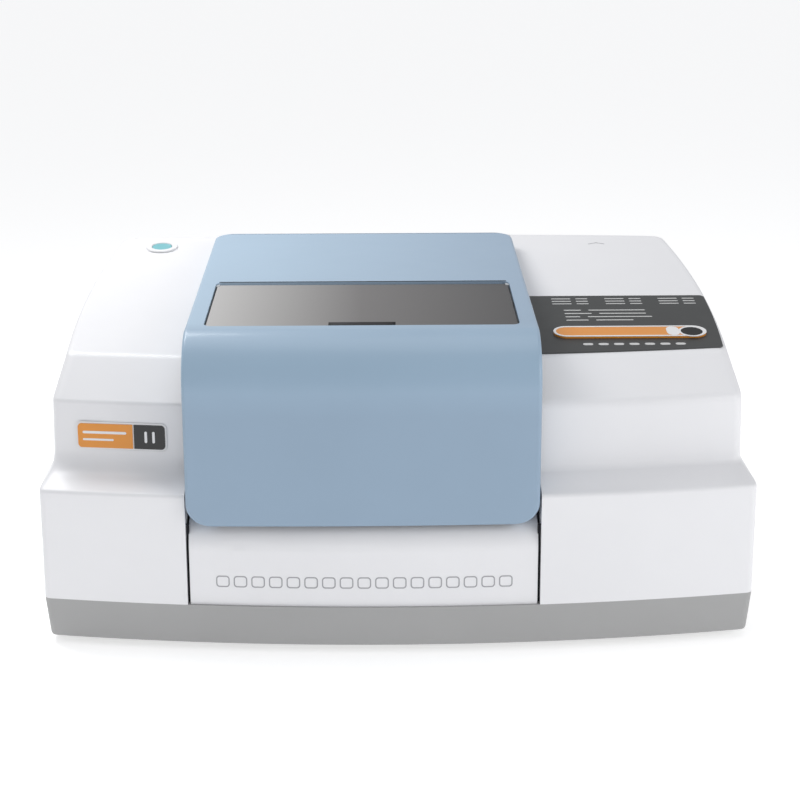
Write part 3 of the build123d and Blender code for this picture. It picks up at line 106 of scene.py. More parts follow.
def noise_node(tree, scale, detail=4.0, stretch=(1, 1, 1)):
    """Noise on object coordinates, which may be stretched along an axis."""
    coordinates = tree.nodes.new("ShaderNodeTexCoord")
    mapping = tree.nodes.new("ShaderNodeMapping")
    mapping.inputs["Scale"].default_value = stretch
    noise = tree.nodes.new("ShaderNodeTexNoise")
    noise.inputs["Scale"].default_value = scale
    noise.inputs["Detail"].default_value = detail
    tree.links.new(coordinates.outputs["Object"], mapping.inputs["Vector"])
    tree.links.new(mapping.outputs["Vector"], noise.inputs["Vector"])
    return noise


def vary_colour(tree, shader, noise, colour, spread):
    """Shift the base colour a little lighter and darker with the noise."""
    ramp = tree.nodes.new("ShaderNodeValToRGB")
    ramp.color_ramp.elements[0].position = 0.3
    ramp.color_ramp.elements[1].position = 0.7
    ramp.color_ramp.elements[0].color = [c * (1 - spread) for c in colour] + [1]
    ramp.color_ramp.elements[1].color = [min(1, c * (1 + spread)) for c in colour] + [1]
    tree.links.new(noise.outputs["Fac"], ramp.inputs["Fac"])
    tree.links.new(ramp.outputs["Color"], shader.inputs["Base Color"])


def vary_roughness(tree, shader, noise, roughness, spread):
    """Let the roughness follow the noise between two limits."""
    limits = tree.nodes.new("ShaderNodeMapRange")
    limits.inputs["To Min"].default_value = max(0.02, roughness - spread)
    limits.inputs["To Max"].default_value = min(1.0, roughness + spread)
    tree.links.new(noise.outputs["Fac"], limits.inputs["Value"])
    tree.links.new(limits.outputs["Result"], shader.inputs["Roughness"])


def add_bump(tree, shader, noise, strength, height):
    """Fine surface relief from the noise."""
    bump = tree.nodes.new("ShaderNodeBump")
    bump.inputs["Strength"].default_value = strength
    bump.inputs["Distance"].default_value = height
    tree.links.new(noise.outputs["Fac"], bump.inputs["Height"])
    tree.links.new(bump.outputs["Normal"], shader.inputs["Normal"])


def object_place(tree, axis, low, high):
    """Place along an object axis, as 0 at its low end and 1 at its high end."""
    coordinates = tree.nodes.new("ShaderNodeTexCoord")
    split = tree.nodes.new("ShaderNodeSeparateXYZ")
    tree.links.new(coordinates.outputs["Object"], split.inputs["Vector"])
    limits = tree.nodes.new("ShaderNodeMapRange")
    limits.inputs["From Min"].default_value = low
    limits.inputs["From Max"].default_value = high
    tree.links.new(split.outputs[axis], limits.inputs["Value"])
    return limits.outputs["Result"]


def colour_ramp(tree, factor, first, last, place=None, between=None):
    """Colours along a factor, with one more colour between them where it is given."""
    ramp = tree.nodes.new("ShaderNodeValToRGB")
    ramp.color_ramp.elements[0].color = first
    ramp.color_ramp.elements[1].color = last
    if between:
        ramp.color_ramp.elements.new(place).color = between
    tree.links.new(factor, ramp.inputs["Fac"])
    return ramp.outputs["Color"]


def multiply(tree, first, second):
    """Product of two colours."""
    mix = tree.nodes.new("ShaderNodeMixRGB")
    mix.blend_type = "MULTIPLY"
    mix.inputs["Fac"].default_value = 1.0
    tree.links.new(first, mix.inputs["Color1"])
    tree.links.new(second, mix.inputs["Color2"])
    return mix.outputs["Color"]


def moulded(name, colour, roughness=0.4, grain=900.0, relief=0.12, coat=0.0, spread=0.02):
    """Moulded or painted surface: fine grain, uneven gloss and slight clouding."""
    material, shader = new_material(name)
    tree = material.node_tree
    vary_colour(tree, shader, noise_node(tree, 14.0, 3.0), colour, spread)
    vary_roughness(tree, shader, noise_node(tree, 60.0, 6.0), roughness, 0.05)
    add_bump(tree, shader, noise_node(tree, grain, 2.0), relief, 0.0002)
    shader.inputs["Coat Weight"].default_value = coat
    shader.inputs["Coat Roughness"].default_value = 0.12
    return material


def metal(name, colour, roughness=0.3, stretch=(1, 1, 1), grain=400.0, relief=0.15):
    """Metal with a directional or cast grain."""
    material, shader = new_material(name)
    tree = material.node_tree
    shader.inputs["Metallic"].default_value = 1.0
    noise = noise_node(tree, grain, 5.0, stretch)
    vary_colour(tree, shader, noise_node(tree, 30.0, 4.0, stretch), colour, 0.06)
    vary_roughness(tree, shader, noise, roughness, 0.10)
    add_bump(tree, shader, noise, relief, 0.0002)
    return material


def clear(name, colour, roughness=0.03):
    """Clear or tinted transparent material."""
    material, shader = new_material(name)
    tree = material.node_tree
    shader.inputs["Transmission Weight"].default_value = 1.0
    shader.inputs["IOR"].default_value = 1.5
    vary_colour(tree, shader, noise_node(tree, 20.0), colour, 0.01)
    vary_roughness(tree, shader, noise_node(tree, 90.0), roughness, 0.015)
    return material


WHITE = moulded("shell_white", (0.80, 0.80, 0.82), 0.42, 1100.0, 0.10, 0.15, 0.012)
PLINTH = moulded("plinth_grey", (0.36, 0.36, 0.36), 0.50, 700.0, 0.20, 0.0, 0.02)
LINER = moulded("liner_grey", (0.42, 0.44, 0.46), 0.60, 500.0, 0.25)
RUBBER = moulded("rubber_black", (0.022, 0.022, 0.024), 0.75, 500.0, 0.35)
BLACK = moulded("black_plastic", (0.018, 0.018, 0.019), 0.45, 700.0, 0.30)
LABEL = moulded("label_grey", (0.036, 0.038, 0.038), 0.45, 1500.0, 0.08, 0.05)
PRINT = moulded("label_print", (0.58, 0.58, 0.58), 0.5, 1500.0, 0.05)
ORANGE = moulded("orange_inlay", (0.74, 0.27, 0.020), 0.32, 1500.0, 0.05, 0.4)
BADGE_DARK = moulded("badge_dark", (0.018, 0.019, 0.020), 0.34, 1500.0, 0.05, 0.1)
BADGE_WHITE = moulded("badge_white", (0.78, 0.78, 0.79), 0.35, 1500.0, 0.05)
TEAL = moulded("button_teal", (0.16, 0.47, 0.52), 0.30, 1200.0, 0.08, 0.3)
CANISTER = moulded("canister_grey", (0.62, 0.62, 0.60), 0.50, 600.0, 0.2)
BOARD = moulded("board_green", (0.012, 0.10, 0.035), 0.45, 250.0, 0.30, 0.2, 0.25)
LENS = moulded("lens_black", (0.006, 0.006, 0.007), 0.60, 2000.0, 0.0, 0.0)
PANEL = moulded("panel_grey", (0.46, 0.47, 0.49), 0.50, 500.0, 0.25)
CERAMIC = moulded("ceramic_rod", (0.75, 0.68, 0.58), 0.8, 900.0, 0.4)
GROOVE = moulded("groove_grey", (0.36, 0.36, 0.38), 0.6, 900.0, 0.1)
# Near-black material for painted shade: strips and rings laid where shadow falls in and beside gaps.
GAP = moulded("painted_shade_dark", (0.010, 0.010, 0.014), 0.9, 400.0, 0.1)
STEEL = metal("steel_brushed", (0.56, 0.57, 0.58), 0.30, (1, 1, 14))
ALUMINIUM = metal("aluminium_milled", (0.72, 0.73, 0.75), 0.34, (12, 1, 1))
CAST = metal("aluminium_cast", (0.50, 0.51, 0.52), 0.48, (1, 1, 1), 260.0, 0.5)
ANODISED = metal("black_anodised", (0.035, 0.036, 0.040), 0.42)
MIRROR = metal("mirror_gold", (0.93, 0.82, 0.62), 0.06, (1, 1, 1), 50.0, 0.0)
BRASS = metal("brass_turned", (0.70, 0.50, 0.22), 0.28, (1, 14, 1))
COPPER = metal("copper_winding", (0.62, 0.27, 0.12), 0.35, (1, 40, 1), 120.0, 0.6)
SALT = clear("salt_window", (0.93, 0.96, 0.98))


def smoke_and_painted_reflection(name):
    """Satin smoked plate with a painted reflection: brighter towards its left end and darker towards its
    right.
    """
    material, shader = new_material(name)
    tree = material.node_tree
    noise = noise_node(tree, 700.0, 3.0, (1, 9, 1))
    along = object_place(tree, "X", -0.150, 0.095)
    # Painted reflection: pale at the left end and near black at the right, laid over the plate's own dark
    # smoke.
    painted_reflection = colour_ramp(
        tree, along, (0.52, 0.51, 0.50, 1), (0.028, 0.026, 0.026, 1), 0.5, (0.140, 0.132, 0.130, 1)
    )
    tree.links.new(painted_reflection, shader.inputs["Base Color"])
    vary_roughness(tree, shader, noise, 0.38, 0.06)
    add_bump(tree, shader, noise, 0.12, 0.0002)
    shader.inputs["Metallic"].default_value = 0.2
    shader.inputs["Coat Weight"].default_value = 0.3
    shader.inputs["Coat Roughness"].default_value = 0.15
    return material


def cover_blue_with_painted_light(name):
    """Satin blue with painted light: paler over the brow and the top, where light from above falls, most of
    all towards the left, where the key lamp is.
    """
    material = moulded(name, (0.270, 0.372, 0.488), 0.40, 1200.0, 0.10, 0.20, 0.015)
    tree = material.node_tree
    shader = tree.nodes["Principled BSDF"]
    # Painted light: the brow and the top are made paler, as light from above falls on them.
    rise = object_place(tree, "Z", 0.185, 0.250)
    painted_light_by_height = colour_ramp(tree, rise, (1.0, 1.0, 1.0, 1), (1.18, 1.16, 1.14, 1), 0.60, (1.16, 1.18, 1.16, 1))
    # Painted light: on the top only, lighter towards the left where the key lamp falls and a little darker
    # at the right.
    across = object_place(tree, "X", -0.160, 0.105)
    painted_light_from_left = colour_ramp(tree, across, (1.22, 1.20, 1.16, 1), (0.94, 0.94, 0.95, 1))
    painted_light_top_only = tree.nodes.new("ShaderNodeMixRGB")
    painted_light_top_only.inputs["Color1"].default_value = (1, 1, 1, 1)
    tree.links.new(object_place(tree, "Z", 0.2440, 0.2455), painted_light_top_only.inputs["Fac"])
    tree.links.new(painted_light_from_left, painted_light_top_only.inputs["Color2"])
    paint = shader.inputs["Base Color"].links[0].from_socket
    lit_by_height = multiply(tree, paint, painted_light_by_height)
    lit_from_left = multiply(tree, lit_by_height, painted_light_top_only.outputs["Color"])
    tree.links.new(lit_from_left, shader.inputs["Base Color"])
    return material


SMOKE_AND_REFLECTION = smoke_and_painted_reflection("flap_smoke")
BLUE = cover_blue_with_painted_light("cover_blue")

NODE_MATERIALS = {
    "base_tray": PLINTH, "rubber_feet": RUBBER, "left_housing": WHITE, "right_housing": WHITE,
    "front_panel": WHITE, "centre_deck": WHITE, "sample_cover": BLUE, "cover_liner": LINER,
    "window_flap": SMOKE_AND_REFLECTION, "window_pin": STEEL, "cover_hinge_arms": STEEL, "hinge_brackets": STEEL,
    "cover_hinge_pins": STEEL, "compartment_tub": LINER, "tub_flange": LINER, "compartment_gasket": RUBBER,
    "port_rings": ALUMINIUM, "port_windows": SALT, "sample_stand": ANODISED,
    "sample_holder": ALUMINIUM, "sample_clips": STEEL, "button_bezel": BADGE_WHITE,
    "power_button": TEAL, "badge_plate": BADGE_WHITE, "badge_colour_field": ORANGE,
    "badge_dark_field": BADGE_DARK, "label_plate": LABEL, "observation_bezel": ORANGE,
    "indicator_lens": LENS, "desiccant_canister": CANISTER, "rear_panel": PANEL,
    "mains_inlet": BLACK, "inlet_blades": BRASS, "switch_frame": BLACK, "power_rocker": BLACK,
    "usb_socket": STEEL, "purge_fittings": BRASS, "panel_screws": STEEL, "bench_mounts": RUBBER,
    "optical_bench": CAST, "mirror_mounts": ANODISED, "collecting_mirrors": MIRROR,
    "fixed_mirror": MIRROR, "beamsplitter_mount": ANODISED, "beamsplitter": SALT,
    "scan_slide": STEEL, "mirror_carriage": ALUMINIUM, "moving_mirror": MIRROR,
    "voice_coil": COPPER, "magnet_pot": STEEL, "source_housing": ALUMINIUM,
    "source_element": CERAMIC, "reference_laser": ALUMINIUM, "laser_saddles": ANODISED,
    "detector_housing": ALUMINIUM, "detector_window": SALT, "preamp_board": BOARD,
    "power_supply": STEEL, "board_pillars": BRASS, "main_board": BOARD,
}
NODE_BEVELS = {
    "front_panel": 0.8, "centre_deck": 1.6, "base_tray": 0.8, "window_flap": 0.5, "label_plate": 0.2,
    "observation_bezel": 0.4, "badge_plate": 0.2, "badge_colour_field": 0.15, "badge_dark_field": 0.15,
    "power_button": 0.5, "cover_liner": 0.6, "compartment_tub": 0.6, "sample_holder": 0.3,
    "sample_stand": 0.5, "rear_panel": 0.3, "mains_inlet": 0.4, "rubber_feet": 0.5,
    "power_rocker": 0.3, "switch_frame": 0.3, "hinge_brackets": 0.4, "cover_hinge_arms": 0.4,
}


def soften(obj, size, segments=3):
    """Rounded edges on a solid, with shading that follows its flat faces."""
    bevel = obj.modifiers.new("edges", "BEVEL")
    bevel.width = size * MM
    bevel.segments = segments
    bevel.limit_method = "ANGLE"
    bevel.angle_limit = math.radians(32)
    bevel.use_clamp_overlap = True
    bevel.harden_normals = False


def flat_and_round(mesh, angle=32.0):
    """Smooth shading except over edges sharper than the angle."""
    work = bmesh.new()
    work.from_mesh(mesh)
    for face in work.faces:
        face.smooth = True
    for edge in work.edges:
        if len(edge.link_faces) == 2:
            edge.smooth = edge.calc_face_angle(0.0) < math.radians(angle)
    work.to_mesh(mesh)
    work.free()


def weigh_normals(obj):
    """Let large faces stay flat beside their rounded edges."""
    weigh = obj.modifiers.new("normals", "WEIGHTED_NORMAL")
    weigh.keep_sharp = True


def dress_node(name, node):
    """Material and edge rounding of a piece that is shown as constructed."""
    material = NODE_MATERIALS[name]
    node.data.materials.clear()
    node.data.materials.append(material)
    if name in NODE_BEVELS:
        soften(node, NODE_BEVELS[name])
        weigh_normals(node)


for node_name, node_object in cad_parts.items():
    dress_node(node_name, node_object)


def new_object(name, points, faces, material):
    """Mesh object from points in millimetres."""
    mesh = bpy.data.meshes.new(name)
    mesh.from_pydata([tuple(c * MM for c in p) for p in points], [], faces)
    mesh.materials.append(material)
    mesh.validate()
    work = bmesh.new()
    work.from_mesh(mesh)
    bmesh.ops.remove_doubles(work, verts=work.verts, dist=1e-6)
    bmesh.ops.recalc_face_normals(work, faces=work.faces)
    work.to_mesh(mesh)
    work.free()
    obj = bpy.data.objects.new(name, mesh)
    bpy.context.scene.collection.objects.link(obj)
    return obj


def apply_modifiers(obj):
    """Bake the modifiers of an object into its mesh."""
    graph = bpy.context.evaluated_depsgraph_get()
    graph.update()
    mesh = bpy.data.meshes.new_from_object(obj.evaluated_get(graph))
    obj.modifiers.clear()
    obj.data = mesh


def cut_with(obj, tool):
    """Take the tool's volume out of an object, and delete the tool."""
    cut = obj.modifiers.new("cut", "BOOLEAN")
    cut.operation = "DIFFERENCE"
    cut.solver = "EXACT"
    cut.object = tool
    apply_modifiers(obj)
    bpy.data.objects.remove(tool)


# Housings: bowed outlines at five heights, joined by a profile with rounded bends

def side_curve(halves, near, far, y):
    """Half width of an outline at y, a smooth curve through its three half widths."""
    t = (y - near) / (far - near)
    low, middle, high = halves
    return low * (1 - t) * (1 - 2 * t) + middle * 4 * t * (1 - t) + high * t * (2 * t - 1)


def curve(start, corner, end, count):
    """Points of a smooth curve between two points, pulled towards a corner."""
    points = []
    for step in range(count + 1):
        t = step / count
        points.append(start * (1 - t) ** 2 + corner * 2 * t * (1 - t) + end * t**2)
    return points


def bend(corner, before, after, reach, count):
    """Points of a smooth bend at a corner, from reach before it to reach after it."""
    back = (before - corner).normalized() * min(reach, (before - corner).length * 0.45)
    forth = (after - corner).normalized() * min(reach, (after - corner).length * 0.45)
    return curve(corner + back, corner, corner + forth, count)


def half_outline(section, bay):
    """Right half of a bowed outline, from the bay plane at the front round to the rear."""
    halves, ends, bows, radius = section
    near, far = ends
    near_side = near + bows[0]
    far_side = far - bows[1]
    front_corner = Vector((halves[0], near_side))
    rear_corner = Vector((halves[2], far_side))
    points = []
    reach = radius * CORNER_SHARE
    last = halves[0] - reach
    for step in range(24):
        x = bay + (last - bay) * step / 24
        points.append(Vector((x, near + bows[0] * (x / halves[0]) ** 2)))
    before = Vector((last, near + bows[0] * (last / halves[0]) ** 2))
    y = near_side + reach
    after = Vector((side_curve(halves, near_side, far_side, y), y))
    points += curve(before, front_corner, after, 12)
    side_end = far_side - reach
    for step in range(1, 33):
        y = near_side + reach + (side_end - near_side - reach) * step / 33
        points.append(Vector((side_curve(halves, near_side, far_side, y), y)))
    before = Vector((side_curve(halves, near_side, far_side, side_end), side_end))
    last = halves[2] - reach
    after = Vector((last, far - bows[1] * (last / halves[2]) ** 2))
    points += curve(before, rear_corner, after, 12)
    for step in range(1, 25):
        x = last + (bay - last) * step / 24
        points.append(Vector((x, far - bows[1] * (x / halves[2]) ** 2)))
    return points


def level(end_inset, side_inset, radius):
    """Section data of the casing outline, drawn in at its ends and sides."""
    halves = (CORNER_HALF - side_inset, WIDTH / 2 - side_inset, REAR_HALF - side_inset)
    return halves, (FRONT + end_inset, REAR - end_inset), (FRONT_BOW, REAR_BOW), radius


def housing(name, side, bay, ledge_reach, crease_reach):
    """One casing half: side is 1 for the right one and -1 for the left one."""
    sections = [
        (level(0, 0, CORNER), PLINTH_TOP),
        (level(0, 0, CORNER), SHOULDER_Z),
        (level(29, 7, UPPER_CORNER), LEDGE_Z),
        (level(30, 8, UPPER_CORNER), CREASE_Z),
    ]
    rings = []
    for section, z in sections:
        rings.append([Vector((p.x, p.y, z)) for p in half_outline(section, bay * side)])
    roof = (ROOF_HALVES, (0.0, ROOF_DEPTH), ROOF_BOWS, UPPER_CORNER)
    ring = []
    for p in half_outline(roof, bay * side):
        y = ROOF_Y + p.y * math.cos(ROOF_TILT)
        z = ROOF_Z + p.y * math.sin(ROOF_TILT)
        ring.append(Vector((p.x, y, z)))
    rings.append(ring)
    inner = []
    low_y = ring[0].y + 40
    high_y = ring[-1].y - 40
    for p in ring:
        y = min(max(p.y, low_y), high_y)
        target = Vector((bay * side, y, ROOF_Z + (y - ROOF_Y) * math.tan(ROOF_TILT)))
        inner.append(p + (target - p).normalized() * 16)
    reaches = [SHOULDER_REACH, ledge_reach, crease_reach, ROOF_REACH]
    columns = []
    for index in range(len(ring)):
        line = [r[index] for r in rings] + [inner[index]]
        column = [line[0]]
        for corner in range(1, 5):
            column += bend(line[corner], line[corner - 1], line[corner + 1], reaches[corner - 1], 6)
        column.append(line[5])
        columns.append([Vector((p.x * side, p.y, p.z)) for p in column])
    rows = len(columns[0])
    points = [p for column in columns for p in column]
    faces = []
    for c in range(len(columns) - 1):
        for r in range(rows - 1):
            a = c * rows + r
            faces.append((a, a + rows, a + rows + 1, a + 1))
    last = (len(columns) - 1) * rows
    faces.append([c * rows + rows - 1 for c in range(len(columns))])
    faces.append([c * rows for c in reversed(range(len(columns)))])
    faces.append(list(range(rows)) + [last + r for r in reversed(range(rows))])
    return new_object(name, points, faces, WHITE)


def roof_frame(x, y):
    """Matrix that stands on the roof at a plan position, with its Z along the roof's normal."""
    z = ROOF_Z + (y - ROOF_Y) * math.tan(ROOF_TILT)
    place = Matrix.Translation(Vector((x, y, z)) * MM)
    return place @ Matrix.Rotation(ROOF_TILT, 4, "X")


def prism(name, outline, low, high, matrix, material):
    """Closed prism over an outline, between two heights over its own frame."""
    count = len(outline)
    points = [(x, y, low) for x, y in outline] + [(x, y, high) for x, y in outline]
    faces = [list(reversed(range(count))), list(range(count, 2 * count))]
    for i in range(count):
        j = (i + 1) % count
        faces.append((i, j, count + j, count + i))
    obj = new_object(name, points, faces, material)
    obj.data.transform(matrix)
    return obj


def rounded_plate(name, size, radius, low, high, matrix, material, steps=8):
    """Prism with round corners, between two heights over its own frame."""
    half_x, half_y = size[0] / 2, size[1] / 2
    ring = []
    for quarter, (sx, sy) in enumerate(((1, 1), (-1, 1), (-1, -1), (1, -1))):
        for step in range(steps + 1):
            angle = math.radians(90 * quarter + 90 * step / steps)
            x = sx * (half_x - radius) + radius * math.cos(angle)
            y = sy * (half_y - radius) + radius * math.sin(angle)
            ring.append((x, y))
    return prism(name, ring, low, high, matrix, material)


def front_frame(x, setback, height):
    """Matrix on a bowed front wall, a setback behind the foremost one, with its Z outwards."""
    slope = 2 * FRONT_BOW * x / CORNER_HALF**2
    y = FRONT + setback + FRONT_BOW * (x / CORNER_HALF) ** 2
    along = Vector((1, slope, 0)).normalized()
    out = Vector((slope, -1, 0)).normalized()
    matrix = Matrix((along, out.cross(along), out)).transposed().to_4x4()
    matrix.translation = Vector((x, y, GROUND + height)) * MM
    return matrix


BADGE_FRAME = front_frame(-209.0, 29.5, 153.4)
left_casing = housing("left_casing", -1, BAY_LEFT, 13.0, 2.2)
cut_with(left_casing, rounded_plate("badge_tool", (70.7, 21.9), 4.0, -1.2, 20, BADGE_FRAME, WHITE))
button_tool = rounded_plate("button_tool", (24, 24), 12.0, -14, 20, roof_frame(BUTTON_X, BUTTON_Y), WHITE)
cut_with(left_casing, button_tool)
right_casing = housing("right_casing", 1, BAY_RIGHT, 4.0, 5.0)
for casing, node_name in ((left_casing, "left_housing"), (right_casing, "right_housing")):
    flat_and_round(casing.data)
    weigh_normals(casing)
    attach(casing, "chassis")
    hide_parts(node_name)


# Sample cover: its side outline swept across, with soft edges and round corners

def cover_profile():
    """Points and outward normals of the cover's side outline, from its foot to its rear edge."""
    foot = GROUND + COVER_FOOT
    brow = GROUND + COVER_BROW
    rise = FOLD_Z - brow
    depth_in = FOLD_Y - FRONT
    radius = (depth_in**2 + rise**2) / (2 * depth_in)
    line = []
    for step in range(12):
        t = step / 12
        height = FOOT_ROUND * (1 - math.cos(math.pi / 2 * t))
        line.append((FRONT, foot + height, -1, 0))
    for step in range(10):
        z = foot + FOOT_ROUND + (brow - foot - FOOT_ROUND) * step / 10
        line.append((FRONT, z, -1, 0))
    sweep = math.asin(rise / radius)
    for step in range(25):
        angle = sweep * step / 24
        y = FRONT + radius - radius * math.cos(angle)
        line.append((y, brow + radius * math.sin(angle), -math.cos(angle), math.sin(angle)))
    slant = (-math.sin(COVER_TILT), math.cos(COVER_TILT))
    top = []
    for step in range(1, 31):
        top.append(FOLD_Y + 1.5 + (COVER_REAR - REAR_ROUND - FOLD_Y - 1.5) * step / 30)
    for step in range(1, 11):
        y = COVER_REAR - REAR_ROUND + REAR_ROUND * math.sin(math.pi / 2 * step / 10)
        top.append(y - (2.0 if step == 10 else 0.0))
    line += [(y, FOLD_Z + (y - FOLD_Y) * math.tan(COVER_TILT), *slant) for y in top]
    return line


def cover_reach(y, z):
    """How far the cover's side edge is drawn in by its round corners."""
    foot = GROUND + COVER_FOOT
    if z < foot + FOOT_ROUND and y < FRONT + 1:
        up = foot + FOOT_ROUND - z
        return FOOT_ROUND - math.sqrt(max(0.0, FOOT_ROUND**2 - up**2))
    if y > COVER_REAR - REAR_ROUND:
        along = min(y - COVER_REAR + REAR_ROUND, REAR_ROUND)
        return REAR_ROUND - math.sqrt(max(0.0, REAR_ROUND**2 - along**2))
    return 0.0


def cover_rows(inset):
    """Grid of points over the cover's skin, drawn in by an inset."""
    rounding = 3.0
    rear = COVER_REAR
    rows = []
    for y, z, ny, nz in cover_profile():
        reach = cover_reach(y, z)
        left = COVER_LEFT + reach
        right = COVER_RIGHT - reach
        bow = 3.0 * max(0.0, min(1.0, (FOLD_Z - z) / (FOLD_Z - GROUND - COVER_FOOT)))
        drop = 26.0 if y < FOLD_Y else 26.0 - 12.0 * (y - FOLD_Y) / 287.0
        row = [(left + inset, drop), (left + inset, drop / 2), (left + inset, rounding)]
        turn = max(0.1, rounding - inset)
        for step in range(1, 6):
            angle = math.pi / 2 * step / 6
            row.append((left + rounding - turn * math.cos(angle), rounding - turn * math.sin(angle)))
        for step in range(41):
            row.append((left + rounding + (right - left - 2 * rounding) * step / 40, inset))
        for step in range(1, 6):
            angle = math.pi / 2 * step / 6
            row.append((right - rounding + turn * math.sin(angle), rounding - turn * math.cos(angle)))
        row += [(right - inset, rounding), (right - inset, drop / 2), (right - inset, drop)]
        placed = []
        for x, inward in row:
            share = (x - BAY_X) / (COVER_RIGHT - BAY_X)
            placed.append((x, min(rear - inset, y - ny * inward + bow * share**2), z - nz * inward))
        rows.append(placed)
    top = rows[-1]
    for drop, back in ((0.6, 1.3), (2.0, 2.0), (14.0, 2.0)):
        rows.append([(px, min(rear - inset, py + back), pz - drop) for px, py, pz in top])
    return rows


def cover_shell():
    """Cover as a closed skin of even thickness, with an outer and an inner face."""
    outer = cover_rows(0.0)
    inner = cover_rows(COVER_SKIN)
    height = len(outer)
    width = len(outer[0])
    points = [p for rows in (outer, inner) for row in rows for p in row]
    half = height * width
    faces = []
    for r in range(height - 1):
        for c in range(width - 1):
            a = r * width + c
            faces.append((a, a + 1, a + width + 1, a + width))
            faces.append((half + a, half + a + width, half + a + width + 1, half + a + 1))
    rim = list(range(width)) + [r * width + width - 1 for r in range(1, height)]
    rim += [(height - 1) * width + c for c in range(width - 2, -1, -1)]
    rim += [r * width for r in range(height - 2, 0, -1)]
    for i, a in enumerate(rim):
        b = rim[(i + 1) % len(rim)]
        faces.append((b, a, half + a, half + b))
    return new_object("cover_hood", points, faces, BLUE)


def cover_frame(x, y):
    """Matrix on the cover's top plane at a plan position."""
    z = FOLD_Z + (y - FOLD_Y) * math.tan(COVER_TILT)
    return Matrix.Translation(Vector((x, y, z)) * MM) @ Matrix.Rotation(COVER_TILT, 4, "X")


cover_hood = cover_shell()
window_size = (WINDOW_WIDTH, WINDOW_DEPTH / math.cos(COVER_TILT))
window_tool = rounded_plate("window_tool", window_size, 6.0, -12, 12, cover_frame(BAY_X, WINDOW_Y), BLUE)
cut_with(cover_hood, window_tool)
flat_and_round(cover_hood.data, 30.0)
weigh_normals(cover_hood)
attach(cover_hood, "cover")
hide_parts("sample_cover")


# Plinth and dark label, with the crisp corners of the photographed ones

def plinth_shell():
    """Plinth with drafted walls and a small round along its lower edge."""
    rings = []
    low_edge = ((5.0, GROUND), (3.2, GROUND + 0.5), (2.6, GROUND + 2.2))
    for inset, z in low_edge + ((0.0, PLINTH_TOP), (0.6, PLINTH_TOP)):
        section = level(inset, inset, CORNER)
        right = [Vector((p.x, p.y, z)) for p in half_outline(section, 0.0)]
        left = [Vector((-p.x, p.y, p.z)) for p in reversed(right)]
        rings.append(right + left[1:-1])
    count = len(rings[0])
    points = [p for ring in rings for p in ring]
    faces = [list(range(count)), [4 * count + i for i in reversed(range(count))]]
    for r in range(len(rings) - 1):
        for i in range(count):
            j = (i + 1) % count
            faces.append((r * count + i, r * count + j, (r + 1) * count + j, (r + 1) * count + i))
    return new_object("plinth", points, faces, PLINTH)


def label_shell():
    """Dark information panel, whose front and right edges follow the roof's own."""
    near, rear_bow = ROOF_BOWS
    inset = 2.2
    left = BAY_RIGHT + LABEL_GAP
    end = LABEL_DEPTH / math.cos(ROOF_TILT)
    start = near + 4.0
    outline = []
    for step in range(21):
        x = left + (ROOF_HALVES[0] - inset - 2.0 - BAY_RIGHT - LABEL_GAP) * step / 20
        outline.append((x, inset * 0.8 + near * (x / ROOF_HALVES[0]) ** 2))
    for step in range(12):
        y = start + (end - start - 3.0) * step / 11
        outline.append((side_curve(ROOF_HALVES, near, ROOF_DEPTH - rear_bow, y) - inset, y))
    outline.append((outline[-1][0] - 2.4, end))
    outline.append((left, end))
    return prism("label_panel", outline, 0.0, 0.8, roof_frame(0.0, ROOF_Y), LABEL)


plinth = plinth_shell()
flat_and_round(plinth.data, 25.0)
weigh_normals(plinth)
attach(plinth, "chassis")
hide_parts("base_tray")
label_panel = label_shell()
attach(label_panel, "chassis")
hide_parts("label_plate")


# Generic marks: bars on the label, badge and front panel in place of any wording

def bar(name, size, matrix, low, high, material, body="chassis"):
    """Small raised bar with round ends."""
    radius = min(size) / 2 * 0.98
    obj = rounded_plate(name, size, radius, low, high, matrix, material, 4)
    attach(obj, body)
    return obj


def label_bars():
    """Rows of short plain bars on the dark panel, as a printed table would read."""
    rows = []
    for start in (128.0, 172.0, 216.0):
        for line in range(3):
            for offset, length in ((0.0, 16.0), (20.0, 10.0)):
                rows.append((start + offset + length / 2, 190.0 - 5.5 * line, length, 1.5))
    for line, lengths in enumerate(((14.0, 46.0), (22.0, 38.0), (12.0, 52.0), (18.0, 30.0))):
        x = 136.0
        for length in lengths:
            rows.append((x + length / 2, 165.0 - 7.0 * line, length, 1.6))
            x += length + 6.0
    for piece in range(7):
        rows.append((148.0 + 12.0 * piece, 95.0, 8.0, 4.0))
    for index, (x, y, length, height) in enumerate(rows):
        name = "label_bar_%02d" % index
        bar(name, (length, height), roof_frame(x, FRONT + y), 0.8, 0.95, PRINT)


def badge_bars():
    """Two plain bars on the coloured field of the badge and a pair on the dark one."""
    for index, (x, y, size) in enumerate(((-13.0, 2.6, (34.0, 2.0)), (-18.0, -3.0, (24.0, 1.6)))):
        place = BADGE_FRAME @ Matrix.Translation(Vector((x, y, 0)) * MM)
        bar("badge_bar_%d" % index, size, place, 0.25, 0.4, BADGE_WHITE)
    for index, x in enumerate((19.0, 25.0)):
        place = BADGE_FRAME @ Matrix.Translation(Vector((x, 0, 0)) * MM)
        bar("badge_mark_%d" % index, (2.0, 9.0), place, 0.25, 0.4, BADGE_WHITE)


def panel_marks():
    """Row of plain outlined cells on the front panel, where an instrument is often titled."""
    count = 17
    left = -139.0
    right = 86.0
    pitch = (right - left) / count
    for index in range(count):
        x = left + pitch * (index + 0.5)
        matrix = front_frame(x, 2.0, 50.5)
        name = "panel_cell_%02d" % index
        cell = rounded_plate(name, (pitch - 3.0, 9.0), 2.5, -0.1, 0.12, matrix, GROOVE, 4)
        hole = rounded_plate("cell_tool", (pitch - 4.8, 7.2), 1.8, -2, 2, matrix, GROOVE, 4)
        cut_with(cell, hole)
        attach(cell, "chassis")


